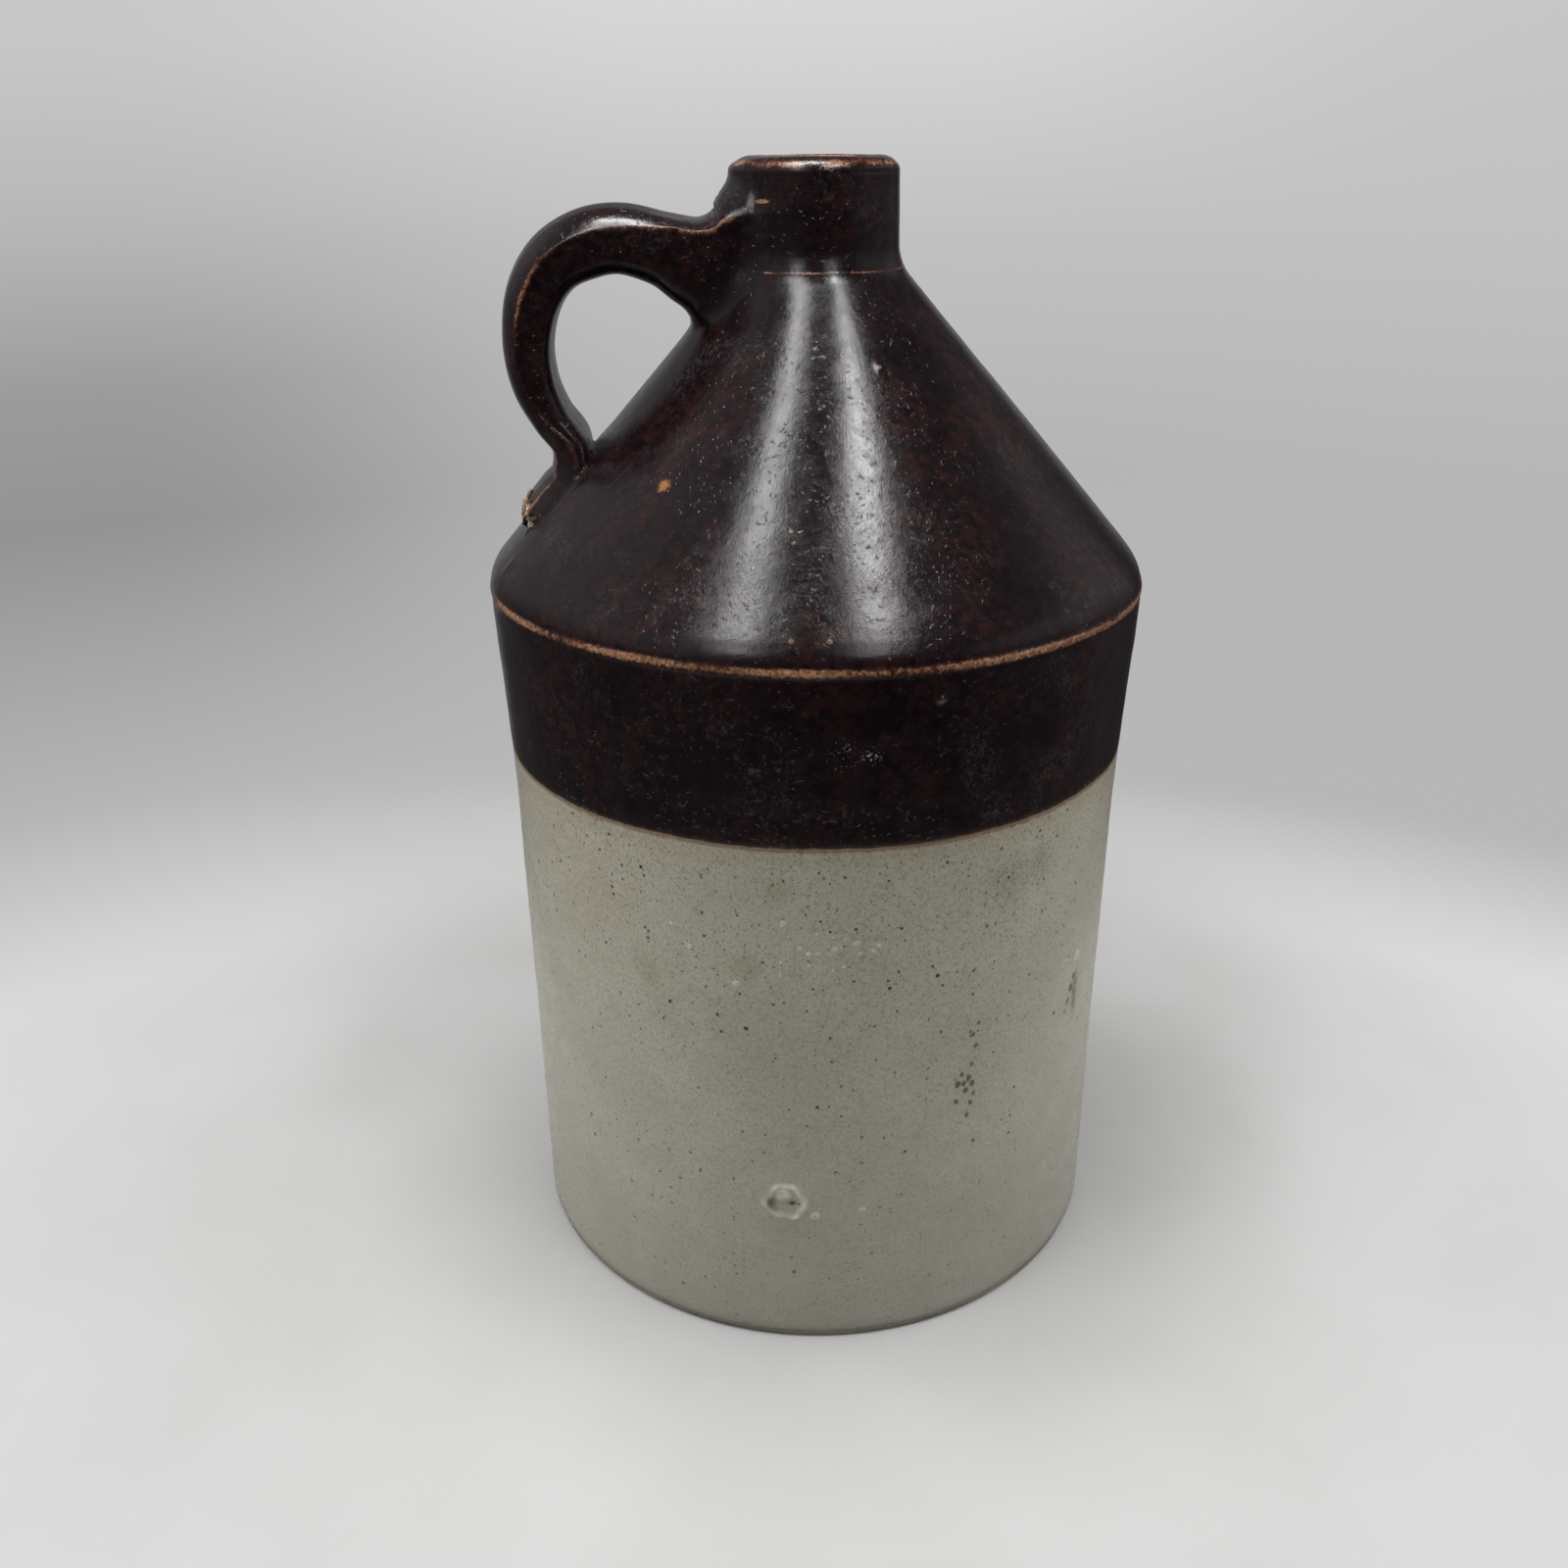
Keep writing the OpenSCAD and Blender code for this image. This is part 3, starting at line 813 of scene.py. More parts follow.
def pale_glaze():
    """Pale grey-olive glaze with fine dark specks, blisters, stains and a brownish haze under the line."""
    t = Tree("pale_glaze")
    t.fine = t.noise(1.0, 3)
    below = t.attribute("below")
    grain = t.noise(0.8, 3, 0.7)
    t.colour = t.mix(t.ramp(t.noise(30, 4, 0.55), 0.3, 0.7), srgb(160, 155, 140), srgb(170, 166, 152))
    t.lay(t.ramp(below, 60.0, 8.0, 0, 0.4), (182, 178, 163))
    t.lay(t.ramp(t.noise(7, 4, 0.6), 0.4, 0.75, 0, 0.28), (148, 143, 126))
    t.lay(t.ramp(grain, 0.45, 0.68, 0, 0.6), (132, 125, 106))
    t.lay(t.ramp(grain, 0.45, 0.25, 0, 0.5), (182, 178, 164))
    t.lay(t.spots(TINGES, 2.5, 3.0), (124, 121, 80), 0.28)
    smudge = t.most(t.spot(-60.4, 135.3, 6.5, 5.0, 6.0), t.spot(-53.6, 137.6, 5.0, 4.0, 6.0))
    smudge = t.times(smudge, t.ramp(t.noise(1.6, 4, 0.7), 0.35, 0.7, 0.15, 0.6))
    t.lay(smudge, (112, 107, 92))

    # Dark specks, more of them higher up
    near_line = t.ramp(below, 24.0, 1.0)
    upper = t.ramp(below, 70.0, 15.0)
    crowd = t.ramp(t.noise(12, 3), 0.35, 0.65, 0.35, 1.0)
    small = t.specks(2.8, 0.58, 0.65)
    rare = t.specks(6.0, 0.72, 0.6)

    def more_above(low, more):
        return t.plus(low, t.times(upper, more))

    t.lay(t.times(t.specks(1.0, 0.3, 0.7), more_above(0.4, 0.3)), (92, 84, 62))
    t.lay(t.times(t.specks(0.8, 0.26, 0.9), t.times(near_line, 0.7)), (88, 66, 42))
    tiny = t.times(t.specks(1.7, 0.45, 0.75), t.times(crowd, more_above(0.5, 0.4)))
    t.lay(tiny, (66, 59, 40))
    t.lay(t.times(small, more_above(0.75, 0.15)), (52, 47, 32))
    t.lay(rare, (30, 28, 20), 0.95)

    # Stains, the brown streak, blisters and the crater
    t.lay(t.spots(STAINS, 0.35, 1.2, tall=1.2), (72, 57, 24), 0.95)
    halo = t.ramp(t.noise(0.7, 3), 0.45, 0.6, 0.0, 0.35)
    halo = t.times(t.spot(-67.0, 78.5, 3.0, 3.0, 2.0, tall=2.0), halo)
    t.lay(halo, (108, 100, 66))
    streak = t.times(t.spot(-37.5, 88.0, 1.6, 1.0, 1.8, tall=4.4), t.ramp(t.noise(1.8, 3), 0.25, 0.5))
    t.lay(streak, (88, 64, 38), 0.8)
    blister = t.spots(BLISTERS, 0.3, 0.8)
    t.lay(blister, (202, 198, 184), 0.7)
    hollow = t.spots([b for b in BLISTERS if b[2] > 0.5], 0.2, grow=0.45)
    t.lay(hollow, (120, 112, 96), 0.35)
    bubbles = t.specks(2.4, 0.6, 0.8, t.stretched(t.place, (1.1, 1.0, 0.9)))
    bubbly = t.times(t.spot(-95.0, 121.0, 10.0, 12.0, tall=0.6), bubbles)
    t.lay(bubbly, (216, 212, 200), 0.95)
    # Painted light round the crater: its raised ring is pale, and the upper lobe is a painted highlight;
    # shade is painted shadow beside the ring
    ring = t.times(t.attribute("ring"), t.ramp(t.noise(1.6, 3), 0.35, 0.6, 0.4, 1.0))
    t.lay(ring, (222, 218, 202))
    t.lay(t.attribute("shade"), (54, 49, 34), 0.95)
    hole = t.most(t.spot(-98.6, 46.8, 0.75, 0.25, 0.8, tall=0.8), t.spot(-97.6, 46.6, 0.4, 0.2, tall=0.7))
    t.lay(hole, (30, 28, 20))

    # A brown haze under the glaze line, and painted shade: the glaze made greyer and darker towards the
    # foot, and a grey band just above it
    haze = t.plus(below, t.wobble(t.noise(1.5, 3), 1.4))
    t.lay(t.ramp(haze, 1.3, 0.0, 0, 0.8), (104, 74, 44))
    t.lay(t.ramp(haze, 7.0, 0.0, 0, 0.25), (128, 112, 82))
    foot = t.times(t.ramp(below, 60.0, 150.0, 0, 0.4), t.ramp(t.noise(26, 3), 0.2, 0.6, 0.7, 1.0))
    t.lay(foot, (110, 109, 98))
    # Painted shade: a neutral grey band on the glaze's lowest few mm, next to the floor
    t.lay(t.ramp(below, 145.5, 149.6, 0, 0.5), (92, 92, 92))
    rough = t.ramp(t.noise(9, 4, 0.6), 0.3, 0.75, 0.26, 0.36)
    t.shader.inputs["IOR"].default_value = GLAZE_IOR
    return t.finished(
        rough, (t.noise(5.0, 3, 0.45), 0.035), (t.noise(0.8, 3, 0.6), 0.006),
        (t.times(t.most(small, rare), -1.0), 0.012), (t.most(blister, bubbly), 0.16),
    )


def bare_clay():
    """Unglazed fired clay: buff and gritty, and dark grey on the foot ring, partly where it stood in the
    kiln and was worn, partly painted shadow along its lowest edge at the floor.
    """
    t = Tree("bare_clay")
    grit = t.specks(2.2, 0.35, 0.4)
    t.colour = t.mix(t.ramp(t.noise(18, 4), 0.3, 0.7), srgb(140, 128, 108), srgb(166, 152, 130))
    t.lay(t.ramp(t.noise(1.2, 4, 0.7), 0.4, 0.7, 0, 0.5), (120, 104, 84))
    t.lay(grit, (72, 58, 44), 0.7)
    t.lay(t.specks(3.4, 0.5, 0.3), (206, 194, 172), 0.6)
    # Painted shade with wear: the foot ring darkened grey, also standing in for the shadow where it meets
    # the floor
    t.lay(t.ramp(t.attribute("worn_and_contact_shade"), 0.2, 0.9, 0, 0.9), (56, 56, 58))
    rough = t.ramp(t.noise(4, 4), 0.3, 0.7, 0.7, 0.9)
    return t.finished(rough, (t.noise(0.7, 4, 0.7), 0.12), (grit, 0.12))


def lining_glaze():
    """The thin brown slip inside, glossy, with rings from the wheel."""
    t = Tree("lining_glaze")
    t.colour = t.mix(t.ramp(t.noise(12, 4), 0.35, 0.7), srgb(50, 28, 22), srgb(92, 54, 36))
    t.lay(t.specks(3.0, 0.4, 0.3), (30, 18, 14), 0.5)
    rough = t.ramp(t.noise(5, 3), 0.3, 0.7, 0.2, 0.36)
    return t.finished(rough, (t.noise(2.4, 3, place=t.stretched(t.place, (0.2, 0.2, 1))), 0.15))


BROWN = brown_glaze()
PALE = pale_glaze()
CLAY = bare_clay()
LINING = lining_glaze()


# Pieces

# How far under a coat the clay lies, the coat's own thickness counted, and the rows of a coat's hidden back
CLAY_UNDER = GLAZE_T + 0.06
BACK_ROWS = 40

# The clay's radius inside the crock and in the bore, and the rounding between its wall and its floor
INSIDE_R = CAVITY_R + CLAY_UNDER
BORE_R = MOUTH_R + CLAY_UNDER
FLOOR_ROUND = 12

# The cone's wall, the way its outside faces, and how far its hidden inside is raised, to clear the lining
CONE_WALL_T = 8.0
CONE_NORMAL = (0.749, 0.662)
CONE_INSIDE_RISE = 0.9

# The bead of slip along the tail's seam: its height, its distance from the strap and its half width
SEAM_BEAD = (0.38, 1.5, 0.5)

# The torn end past the strap's last ring: how much of that ring the next ones keep, and how far they
# and the tip reach
TORN_SHRINK = (0.72, 0.42)
TORN_REACH = 2.6
TORN_TIP = 1.6

AZ = np.arange(COAT_COLUMNS) * 360 / COAT_COLUMNS
TAN_WAVE = Waves(41, 14, 14, 30)
FOOT_RINGS = Waves(43, 10, 2, 5)
TAN_ALONG = Waves(47, 14, 3, 26)


def finish_piece(piece, node):
    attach(piece, "root")
    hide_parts(node)


def row_at(h):
    """The first row of the outline at or above height h on the outside."""
    return int(np.argmax(OUTLINE[:, 1] >= h - 1e-6))


LINE_ROW = row_at(GLAZE_LINE_H)
FOOT_ROW = row_at(BARE_FOOT_H)


def coat_shell(start, end):
    """A coat over rows start to end of the outline: its front, its back, and the rows' radii and heights."""
    line, line_normals = OUTLINE[start:end], OUTLINE_NORMALS[start:end]
    front = skin(line, line_normals, COAT_COLUMNS)
    step = max(1, len(line) // BACK_ROWS)
    rows = sorted({*range(0, len(line), step), len(line) - 1}, reverse=True)
    back = skin(line[rows], line_normals[rows], COAT_COLUMNS, GLAZE_T)
    return front, back, line[:, :1], line[:, 1:]


def drawn_up_to_handle(front):
    """The brown coat's front, drawn up into the handle's fillet, with a bead along the tail's seam."""
    flat = front.reshape(-1, 3)
    near = (flat[:, 0] < 6) & (abs(flat[:, 1]) < 32) & (flat[:, 2] > 203)
    picked = np.nonzero(near)[0]
    close = strap_distance(flat[picked])
    picked = picked[(close < FILLET_FAR) & (close > -FILLET_DEEP)]
    out = point_normals(front).reshape(-1, 3)[picked]
    moved = drawn_to_fillet(flat[picked], out, body_distance, strap_distance)
    height, off, width = SEAM_BEAD
    bead = height * smooth(-10, -14, moved[:, 1]) * hump(strap_distance(moved), off, width)
    bead = bead * smooth(252, 236, moved[:, 2])
    flat[picked] = moved + out * bead[:, None]
    return flat.reshape(front.shape)


def tan_on_brown(az, r, h):
    """Where the brown runs thin: the ridge, the lip, the neck's joint and the edges of the smear. On the
    lip's top and round the mouth's inner edge the tan is also a painted highlight.
    """
    around = TAN_WAVE(az, 0)
    uneven = 0.85 + 0.25 * TAN_WAVE(az, h)
    ridge = 0.9 * smooth(2.0, 0.3, abs(h - RIDGE_H - 0.1)) * (0.92 + 0.12 * around)
    outer_lip = 0.72 * hump(h, 298.1, 1.0) * smooth(17.2, 18.4, r) * (0.82 + 0.2 * TAN_WAVE(az, 40))
    # Painted highlight: the lip's top and the mouth's inner edge are made lighter tan for the light falling
    # on them from above, over the thin glaze's own tan
    lip_top = 0.3 * smooth(297.6, 299.0, h) * smooth(12.9, 13.4, r) * uneven
    inner_lip_tan_and_highlight = 0.85 * smooth(15.6, 14.4, r) * uneven
    joint = 0.7 * hump(h, NECK_JOINT_H - 0.1, 0.38) * (0.95 + 0.25 * around)
    edge = 0.6 * hump(past_smear(az, h), -3.0, 1.3) * smooth(281, 284.5, h)
    edge = edge * smooth(290.5, 287.5, h) * uneven
    return np.clip(ridge + outer_lip + lip_top + inner_lip_tan_and_highlight + joint + edge, 0, 1)


def make_brown_coat():
    front, back, r, h = coat_shell(LINE_ROW, len(OUTLINE))
    piece = grid_object("brown_coat", [*drawn_up_to_handle(front), *back], True, BROWN)
    film = (h - GLAZE_LINE_H) / 3.4 * (1 + 0.55 * np.cos(np.radians(AZ - 235)))
    film = np.where(r < 20.0, 1.0, film)
    put_attribute(piece, "tan", 0.0, tan_on_brown(AZ, r, h))
    put_attribute(piece, "film", 1.0, np.clip(film, 0, 1))
    put_attribute(piece, "torn", 0.0)
    finish_piece(piece, "brown_glaze")


def make_pale_coat():
    front, back, _, h = coat_shell(FOOT_ROW, LINE_ROW + 1)
    piece = grid_object("pale_coat", [*front, *back], True, PALE)
    x, y, angle, ring_r = crater_places(AZ, h)
    # The ring's pale colour is partly painted highlight, most on its upper lobe; shade is painted shadow to
    # the ring's left and in a slit on its right
    ring = hump(np.hypot(x, y), ring_r, 0.75) * (0.7 + 0.3 * CRATER_RAG(angle, 3))
    lobe = 0.8 * smooth(2.9, 1.6, np.hypot(x + 0.3, (y - 2.9) * 1.1))
    shade = hump(np.hypot(x + 0.75 * CRATER_R, (y + 0.5) * 0.6), 0, 1.5)
    shade = shade + 0.7 * hump(np.hypot((x - 1.7) * 0.8, (y + 0.2) * 1.6), 0, 1.0)
    put_attribute(piece, "below", 50.0, GLAZE_LINE_H - h + 0 * AZ)
    put_attribute(piece, "shade", 0.0, np.clip(shade * (1 - ring), 0, 1))
    put_attribute(piece, "ring", 0.0, np.clip(np.maximum(ring, lobe), 0, 1))
    finish_piece(piece, "pale_glaze")


def clay_outside(low, high):
    """Rings of the clay's outside, just under the coats."""
    keep = (OUTLINE[:, 1] >= low) & (OUTLINE[:, 1] <= high)
    keep[np.argmax(OUTLINE[:, 1]):] = False
    rows = np.nonzero(keep)[0][::3]
    return list(skin(OUTLINE[rows], OUTLINE_NORMALS[rows], CLAY_COLUMNS, CLAY_UNDER))


def ring_of(r, h):
    """A level ring in the clay, or a point on the axis."""
    if r == 0:
        return np.array([[0.0, 0.0, h]])
    a = np.arange(CLAY_COLUMNS) * FULL_TURN / CLAY_COLUMNS
    return np.stack([r * np.cos(a), r * np.sin(a), np.full(CLAY_COLUMNS, float(h))], 1)


def make_crock():
    """The crock: foot ring, wall and floor. Its foot shows, with rings left by the turning tool."""
    recess_r = FOOT_R - FOOT_BEVEL - FOOT_RING_W
    flat_r = recess_r - FOOT_RECESS
    ring_end = FOOT_R - FOOT_BEVEL
    foot = [(0, FOOT_RECESS)]
    for r in np.arange(1.5, flat_r, 1.5):
        foot.append((r, FOOT_RECESS + 0.12 * math.sin(r * 2.1) * math.sin(r * 0.37)))
    foot += [(flat_r, FOOT_RECESS), (recess_r - 0.5 * FOOT_RECESS, 0.55 * FOOT_RECESS)]
    foot += [(recess_r, 0.12), (recess_r + 0.5, 0)]
    foot += [(r, 0.03 * abs(math.sin(r * 3.0))) for r in np.arange(recess_r + 1.2, ring_end - 0.6, 1.2)]
    foot += [(ring_end, 0), (FOOT_R - 0.45 * FOOT_BEVEL, 0.14)]
    foot += [(FOOT_R - 0.1 * FOOT_BEVEL, 0.42), (FOOT_R, FOOT_BEVEL + 0.1)]
    outside = clay_outside(BARE_FOOT_H - 0.2, RIDGE_H - 0.2)
    top_h, floor_h = RIDGE_H - 0.05, FLOOR_H - CLAY_UNDER
    inside = [(outside[-1][0][0] - 2, top_h), (INSIDE_R, top_h)]
    inside += [(INSIDE_R, h) for h in np.arange(RIDGE_H - 8, 24, -12)]
    for a in np.radians(np.linspace(0, 90, 7)):
        r = INSIDE_R - FLOOR_ROUND * (1 - math.cos(a))
        inside.append((r, floor_h + FLOOR_ROUND * (1 - math.sin(a))))
    inside += [(40, floor_h), (0, floor_h)]
    rings = [ring_of(*p) for p in foot] + outside + [ring_of(*p) for p in inside]
    piece = grid_object("crock_clay", rings, False, CLAY)
    x, y, h = np.concatenate(rings).T
    r = np.hypot(x, y)
    uneven = 0.8 + 0.2 * FOOT_RINGS(np.degrees(np.arctan2(y, x)) * 4, r * 2)
    # Painted shade: the foot ring's underside and its low bare edge darkened grey, partly wear, partly
    # painted contact shadow at the floor
    worn_and_contact_shade = smooth(2.4, 1.8, h) * smooth(recess_r - 1, recess_r + 1, r) * uneven
    put_attribute(piece, "worn_and_contact_shade", 0.0, np.clip(worn_and_contact_shade, 0, 1))
    finish_piece(piece, "crock_body")


def make_shoulder():
    """The cone's clay, hidden between its coats."""
    slope = (CONE_TOP[1] - CONE_FOOT[1]) / (CONE_TOP[0] - CONE_FOOT[0])
    inner_r, inner_h = (CONE_FOOT[i] - CONE_WALL_T * CONE_NORMAL[i] for i in (0, 1))
    rings = clay_outside(RIDGE_H, NECK_JOINT_H - 0.15) + [ring_of(BORE_R, NECK_JOINT_H - 0.1)]
    for r in np.linspace(BORE_R, INSIDE_R - 0.1, 9):
        rings.append(ring_of(r, inner_h + (r - inner_r) * slope + CONE_INSIDE_RISE))
    rings.append(ring_of(INSIDE_R, RIDGE_H + 0.02))
    piece = grid_object("shoulder_clay", rings, True, CLAY)
    put_attribute(piece, "worn_and_contact_shade", 0.0)
    finish_piece(piece, "shoulder_cone")


def make_neck():
    """The neck's clay, hidden between its coats."""
    inside = [(18.0, LIP_H - 1.2), (14.8, LIP_H - 1.0), (BORE_R, LIP_H - 3.4), (BORE_R, NECK_JOINT_H)]
    rings = clay_outside(NECK_JOINT_H, LIP_H - 3) + [ring_of(*p) for p in inside]
    piece = grid_object("neck_clay", rings, True, CLAY)
    put_attribute(piece, "worn_and_contact_shade", 0.0)
    finish_piece(piece, "neck_collar")


def tan_on_handle(angle, s, left):
    """Tan along the strap's edges, on the tail's own edges and at its torn end."""
    across, rise, outer_edge, inner_edge = SECTION
    share = s / s[-1]
    power = np.maximum((STRAP[:, 3:] / 16.5) ** 2, 1) + 2.5 * smooth(0.5, 0.75, share)
    edges = outer_edge ** power * (0.95 - 0.35 * smooth(0.45, 0.7, share) + 0.3 * TAN_ALONG(angle, s))
    tail = 0.8 * TAIL_EDGE[:, None] * hump(abs(across), TAIL_EDGE_X, 0.05) * (rise > 0)
    tail = tail * (0.9 + 0.3 * TAN_ALONG(angle + 20, s))
    inner = 0.55 * inner_edge * smooth(0.5, 0.62, share) * (0.9 + 0.4 * TAN_ALONG(angle + 50, s))
    end = 0.6 * smooth(6, 2, left) * (0.6 + 0.5 * TAN_ALONG(angle * 2, left * 6))
    return np.clip(np.maximum((edges + tail + inner) * smooth(0.05, 0.1, share), end), 0, 1)


def make_handle():
    """The handle: a pulled strap, wiped into the neck and the cone, with a torn tail."""
    grid = strap_grid()
    out = -point_normals(grid)
    out *= np.sign((out * (grid - in_plane(STRAP[:, :2]))).sum(2).mean())
    flat = grid.reshape(-1, 3)
    off = body_distance(flat)
    picked = np.nonzero((off < FILLET_FAR) & (off > -FILLET_DEEP))[0]
    flat[picked] = drawn_to_fillet(flat[picked], out.reshape(-1, 3)[picked], strap_distance, body_distance)

    # The last rings run ragged
    s = along(STRAP[:, :2])[:, None]
    left = s[-1] - s
    angle = np.degrees(np.arctan2(SECTION[1], SECTION[0])) % 360
    torn = smooth(3.2, 0.4, left + 1.3 * TEAR(angle, 0))
    ends = in_plane(STRAP_DIR)
    grid = flat.reshape(grid.shape)
    grid = grid + ends * (1.7 * TEAR(angle, left * 2) * smooth(6.0, 0.0, left))[:, :, None]
    grid = grid + out * (0.6 * TEAR(angle + 90, left * 6) * torn)[:, :, None]
    grid[:, :, 2] = np.maximum(grid[:, :, 2], RIDGE_H)
    last = grid[-1]
    centre = last.mean(0, keepdims=True)
    rings = [grid[0].mean(0, keepdims=True), *grid]
    for share in TORN_SHRINK:
        reach = 0.8 * TEAR(angle * 2, share * 9) + TORN_REACH * (1 - share)
        rings.append(centre + (last - centre) * share + ends[-1] * reach[:, None])
    rings.append(centre + ends[-1] * TORN_TIP)
    piece = grid_object("handle_strap", rings, False, BROWN)
    put_attribute(piece, "tan", 0.6, np.append(0, tan_on_handle(angle, s, left)))
    put_attribute(piece, "film", 1.0)
    put_attribute(piece, "torn", 1.0, np.append(0, torn))
    finish_piece(piece, "handle")


make_brown_coat()
make_pale_coat()
make_crock()
make_shoulder()
make_neck()
make_handle()

# The lining keeps its CAD form
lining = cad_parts["inner_glaze"]
lining.data.materials.clear()
lining.data.materials.append(LINING)


# Floor, light and camera

# The floor's half width, and the distances from the jug between which it fades out into the backdrop
FLOOR_HALF = 350
FLOOR_FADE = (150, 340)


def floor_material():
    """Pale matt ground, a little cloudy."""
    t = Tree("pale_floor")
    t.colour = t.mix(t.ramp(t.noise(120, 3), 0.3, 0.7), (0.475, 0.475, 0.47), (0.515, 0.515, 0.515))
    t.colour = t.mix(t.ramp(t.noise(3.0, 4, 0.7), 0.62, 0.75, 0, 0.12), t.colour, (0.41, 0.4, 0.385))
    t.shader.inputs["Specular IOR Level"].default_value = 0.2
    t.put(t.shader.inputs["Alpha"], t.ramp(t.length(t.place), FLOOR_FADE[1], FLOOR_FADE[0]))
    return t.finished(t.ramp(t.noise(60, 4), 0.3, 0.7, 0.5, 0.65))


def make_floor():
    mesh = bpy.data.meshes.new("floor")
    half = FLOOR_HALF * MM
    corners = [(-half, -half, 0), (half, -half, 0), (half, half, 0), (-half, half, 0)]
    mesh.from_pydata(corners, [], [(0, 1, 2, 3)])
    mesh.materials.append(floor_material())
    floor = bpy.data.objects.new("floor", mesh)
    bpy.context.scene.collection.objects.link(floor)


# How bright the room is by the height of the direction, from straight down (-1) to straight up (1), for
# light and reflections: dim in front, brighter on the left and on the right, and pale behind the jug
ROOM = [(-1.0, 0.3), (-0.5, 0.03), (0.0, 0.03), (0.2, 0.06), (0.6, 0.06), (1.0, 0.12)]
ROOM_LEFT = [(-1.0, 0.3), (-0.5, 0.05), (0.0, 0.1), (0.2, 0.2), (0.6, 0.36), (0.92, 0.22), (1.0, 0.2)]
ROOM_RIGHT = [(-1.0, 0.3), (-0.5, 0.05), (0.0, 0.12), (0.2, 0.24), (0.4, 0.32), (0.6, 0.12), (1.0, 0.12)]
BEHIND = [(-1.0, 0.6), (-0.3, 0.26), (0.3, 0.3), (0.7, 0.3), (1.0, 0.2)]

# The backdrop as the camera sees it, brightest at the top in the middle, with a shadow across its left
BACKDROP = [
    (-1.0, 0.74), (-0.48, 0.74), (-0.40, 0.475), (-0.2, 0.46), (-0.06, 0.53), (0.07, 0.68),
    (1.0, 0.7),
]
BACKDROP_RIGHT = [
    (-1.0, 0.74), (-0.48, 0.74), (-0.40, 0.475), (-0.2, 0.47), (-0.06, 0.53), (0.07, 0.57),
    (1.0, 0.6),
]
BACKDROP_LEFT = [
    (-1.0, 0.74), (-0.48, 0.7), (-0.38, 0.46), (-0.32, 0.40), (-0.22, 0.29), (-0.14, 0.33),
    (-0.04, 0.48), (0.05, 0.57), (1.0, 0.66),
]


def make_world():
    """A dim room for light and reflections, and a pale backdrop for the camera."""
    world = bpy.data.worlds.new("studio")
    bpy.context.scene.world = world
    g = Graph(world)
    way = g.node("SeparateXYZ", {0: g.node("TexCoord").outputs["Generated"]}).outputs

    def by_height(table):
        """The brightness of a table, as a colour."""
        height = g.node("MapRange", {"Value": way["Z"], "From Min": -1.0}).outputs[0]
        ramp = g.node("ValToRGB", {0: height})
        stops = ramp.color_ramp.elements
        for h, level in table[:-1]:
            stops.new((h + 1) / 2).color = (level, level, level, 1)
        stops.remove(stops[0])
        stops[-1].color = (*[table[-1][1]] * 3, 1)
        return ramp.outputs[0]

    light = g.mix(g.ramp(way["X"], -0.15, -0.7), by_height(ROOM), by_height(ROOM_LEFT))
    light = g.mix(g.ramp(way["X"], 0.62, 0.85), light, by_height(ROOM_RIGHT))
    light = g.mix(g.ramp(way["Y"], 0.83, 0.93), light, by_height(BEHIND))
    drop = g.mix(g.ramp(way["X"], 0.0, -0.36), by_height(BACKDROP), by_height(BACKDROP_LEFT))
    drop = g.mix(g.ramp(way["X"], 0.15, 0.5), drop, by_height(BACKDROP_RIGHT))
    seen = g.mix(g.node("LightPath").outputs["Is Camera Ray"], light, drop)
    g.node("OutputWorld", {"Surface": g.node("Background", {"Color": seen}).outputs[0]})


def placing(right, up, way, at):
    """The matrix of a lamp or camera at a place in mm, from its right, its up and the way it looks."""
    columns = [right, up, [-w for w in way], [c * MM for c in at]]
    return Matrix([[column[i] for column in columns] for i in range(3)] + [[0, 0, 0, 1]])


def soft_lamp(name, at, aim, size, power, glossy=True, along=(0, 0, 1)):
    """A flat lamp that faces aim. Its second size runs as nearly as it can in the direction along."""
    data = bpy.data.lights.new(name, "AREA")
    data.shape = "RECTANGLE"
    data.size, data.size_y = (s * MM for s in size)
    data.energy = power
    lamp = bpy.data.objects.new(name, data)
    way = np.array(aim, float) - np.array(at, float)
    way /= np.linalg.norm(way)
    side = np.cross(way, along)
    side /= np.linalg.norm(side)
    lamp.matrix_world = placing(side, np.cross(side, way), way, at)
    lamp.visible_camera = False
    lamp.visible_glossy = glossy
    bpy.context.scene.collection.objects.link(lamp)


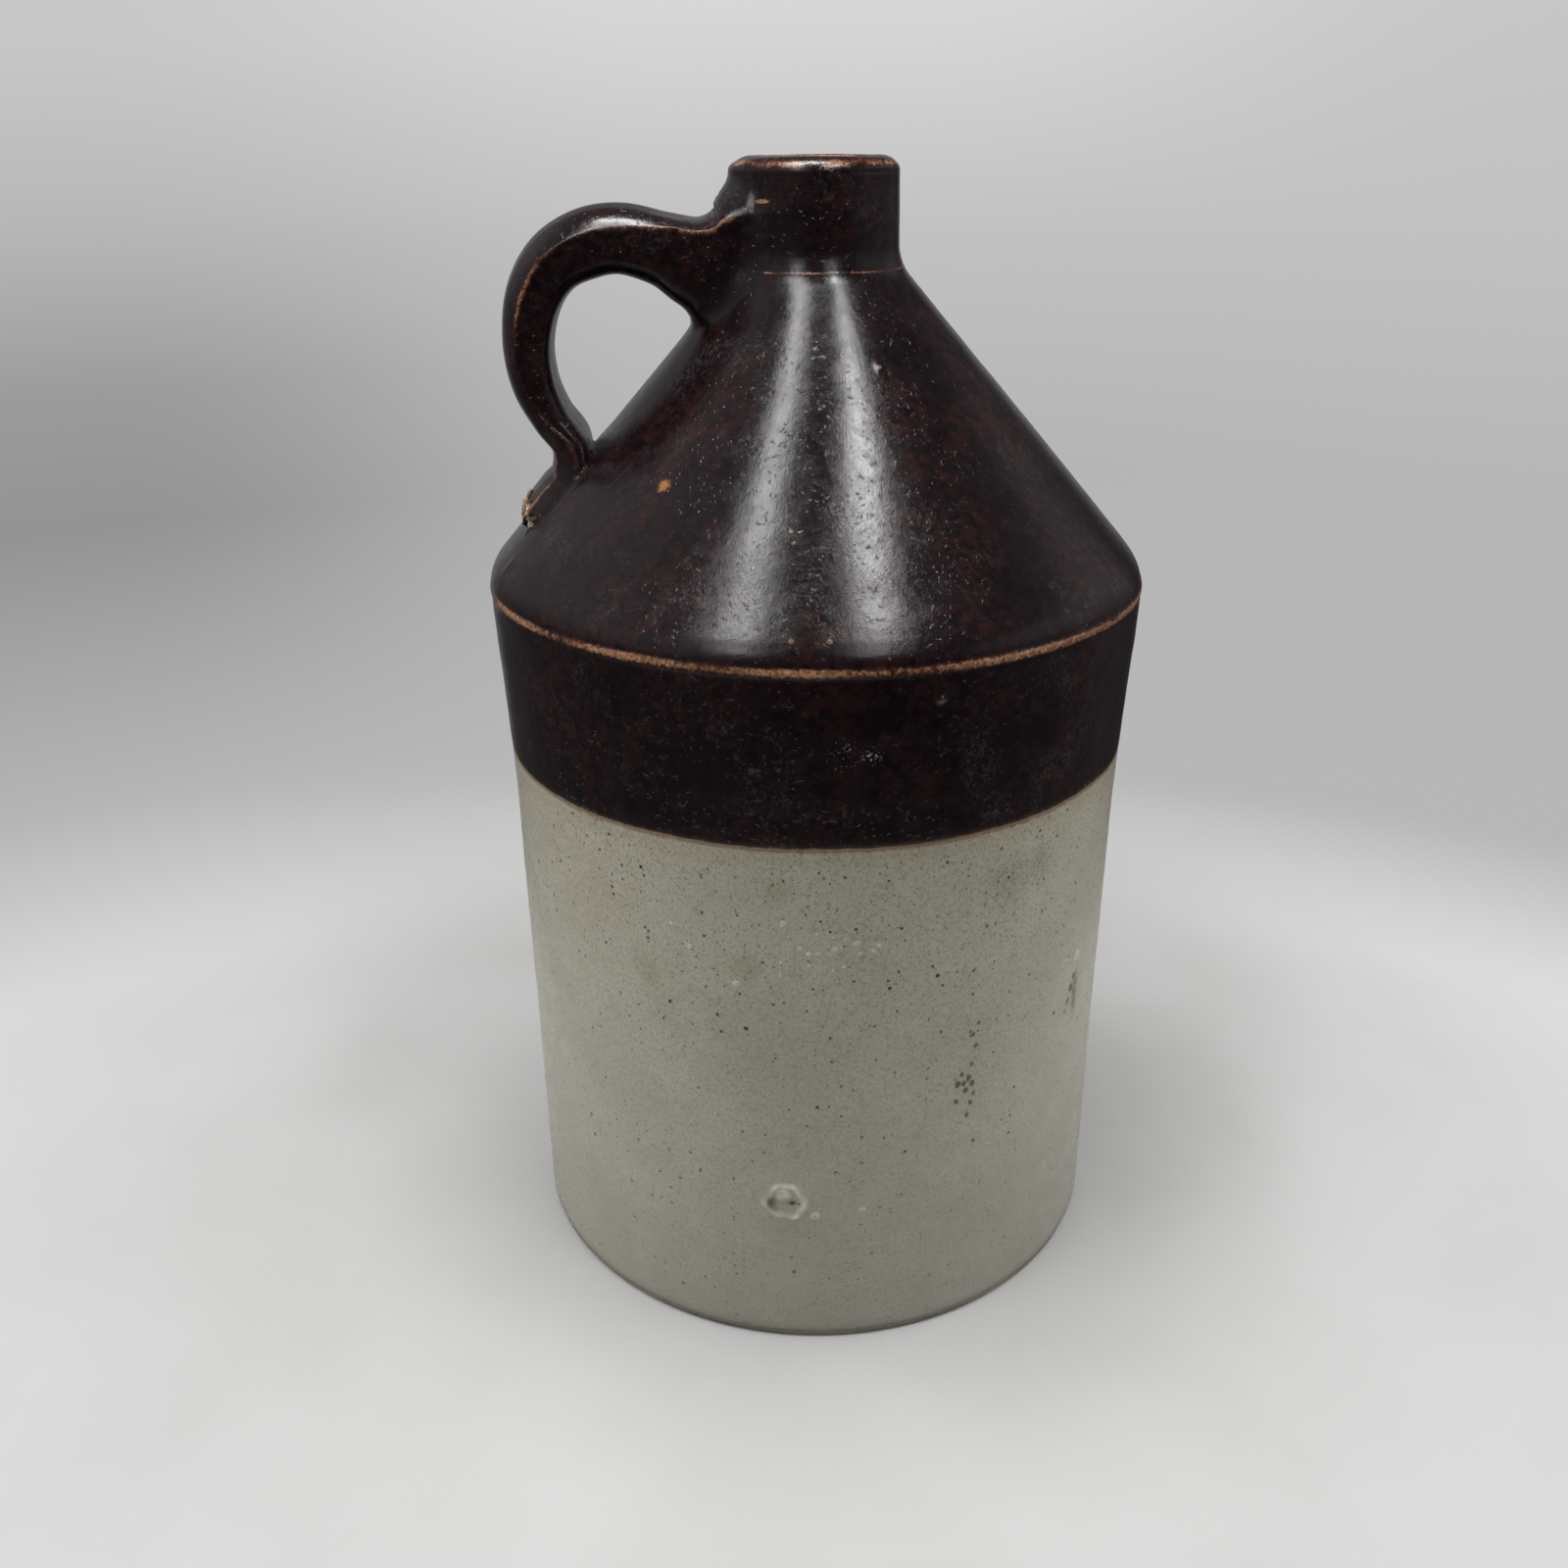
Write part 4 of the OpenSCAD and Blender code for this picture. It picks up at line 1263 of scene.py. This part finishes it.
# The camera as fitted to the photograph: its place, the way it looks, and its right and up
CAMERA_AT = (-33.7, -385.4, 305.15)
CAMERA_RIGHT = (0.99771, -0.06727, -0.00684)
CAMERA_UP = (0.03394, 0.41081, 0.91109)
CAMERA_WAY = (0.05848, 0.90924, -0.41215)
FOCAL_PX = 1472.0
FRAME_PX = 1600.0
SENSOR_MM = 36.0
CLIP_M = (0.01, 50)


def make_camera():
    data = bpy.data.cameras.new("camera")
    data.sensor_fit = "HORIZONTAL"
    data.sensor_width = SENSOR_MM
    data.lens = SENSOR_MM * FOCAL_PX / FRAME_PX
    data.clip_start, data.clip_end = CLIP_M
    camera = bpy.data.objects.new("camera", data)
    camera.matrix_world = placing(CAMERA_RIGHT, CAMERA_UP, CAMERA_WAY, CAMERA_AT)
    bpy.context.scene.collection.objects.link(camera)
    bpy.context.scene.camera = camera


make_floor()
make_world()

# A strip on each side gives the two long highlights down the cone, and a short one brightens the middle
# of the right one. The low strips carry both on down, dimmer. The one overhead lights the handle and the
# lip. The fills don't show in reflections
soft_lamp("strip_left", (-218, -226, 840), (-12, -50, 240), (100, 290), 1.32, along=(-153, -229, 0))
soft_lamp("strip_right", (185, -246, 840), (8, -50, 240), (66, 290), 1.05, along=(-10, -268, 0))
soft_lamp("strip_right_middle", (184, -262, 832), (8, -50, 240), (50, 120), 0.42, along=(-10, -268, 0))
soft_lamp("strip_left_low", (-330, -510, 700), (-22, -84, 200), (80, 330), 0.55, along=(-60, -268, -278))
soft_lamp("strip_right_low", (185, -530, 690), (10, -86, 200), (60, 330), 0.5, along=(0, -300, -278))
soft_lamp("strip_over", (-45, 20, 800), (-30, -20, 290), (230, 180), 2.2, along=(0, 1, 0))
soft_lamp("fill_front", (-60, -650, 520), (0, 0, 170), (500, 400), 0.35, glossy=False)
soft_lamp("fill_left", (-600, -50, 380), (0, 0, 80), (600, 500), 2.65, glossy=False)
soft_lamp("fill_right", (600, -50, 380), (0, 0, 80), (600, 500), 2.65, glossy=False)
make_camera()
bpy.context.scene.view_settings.view_transform = "Standard"
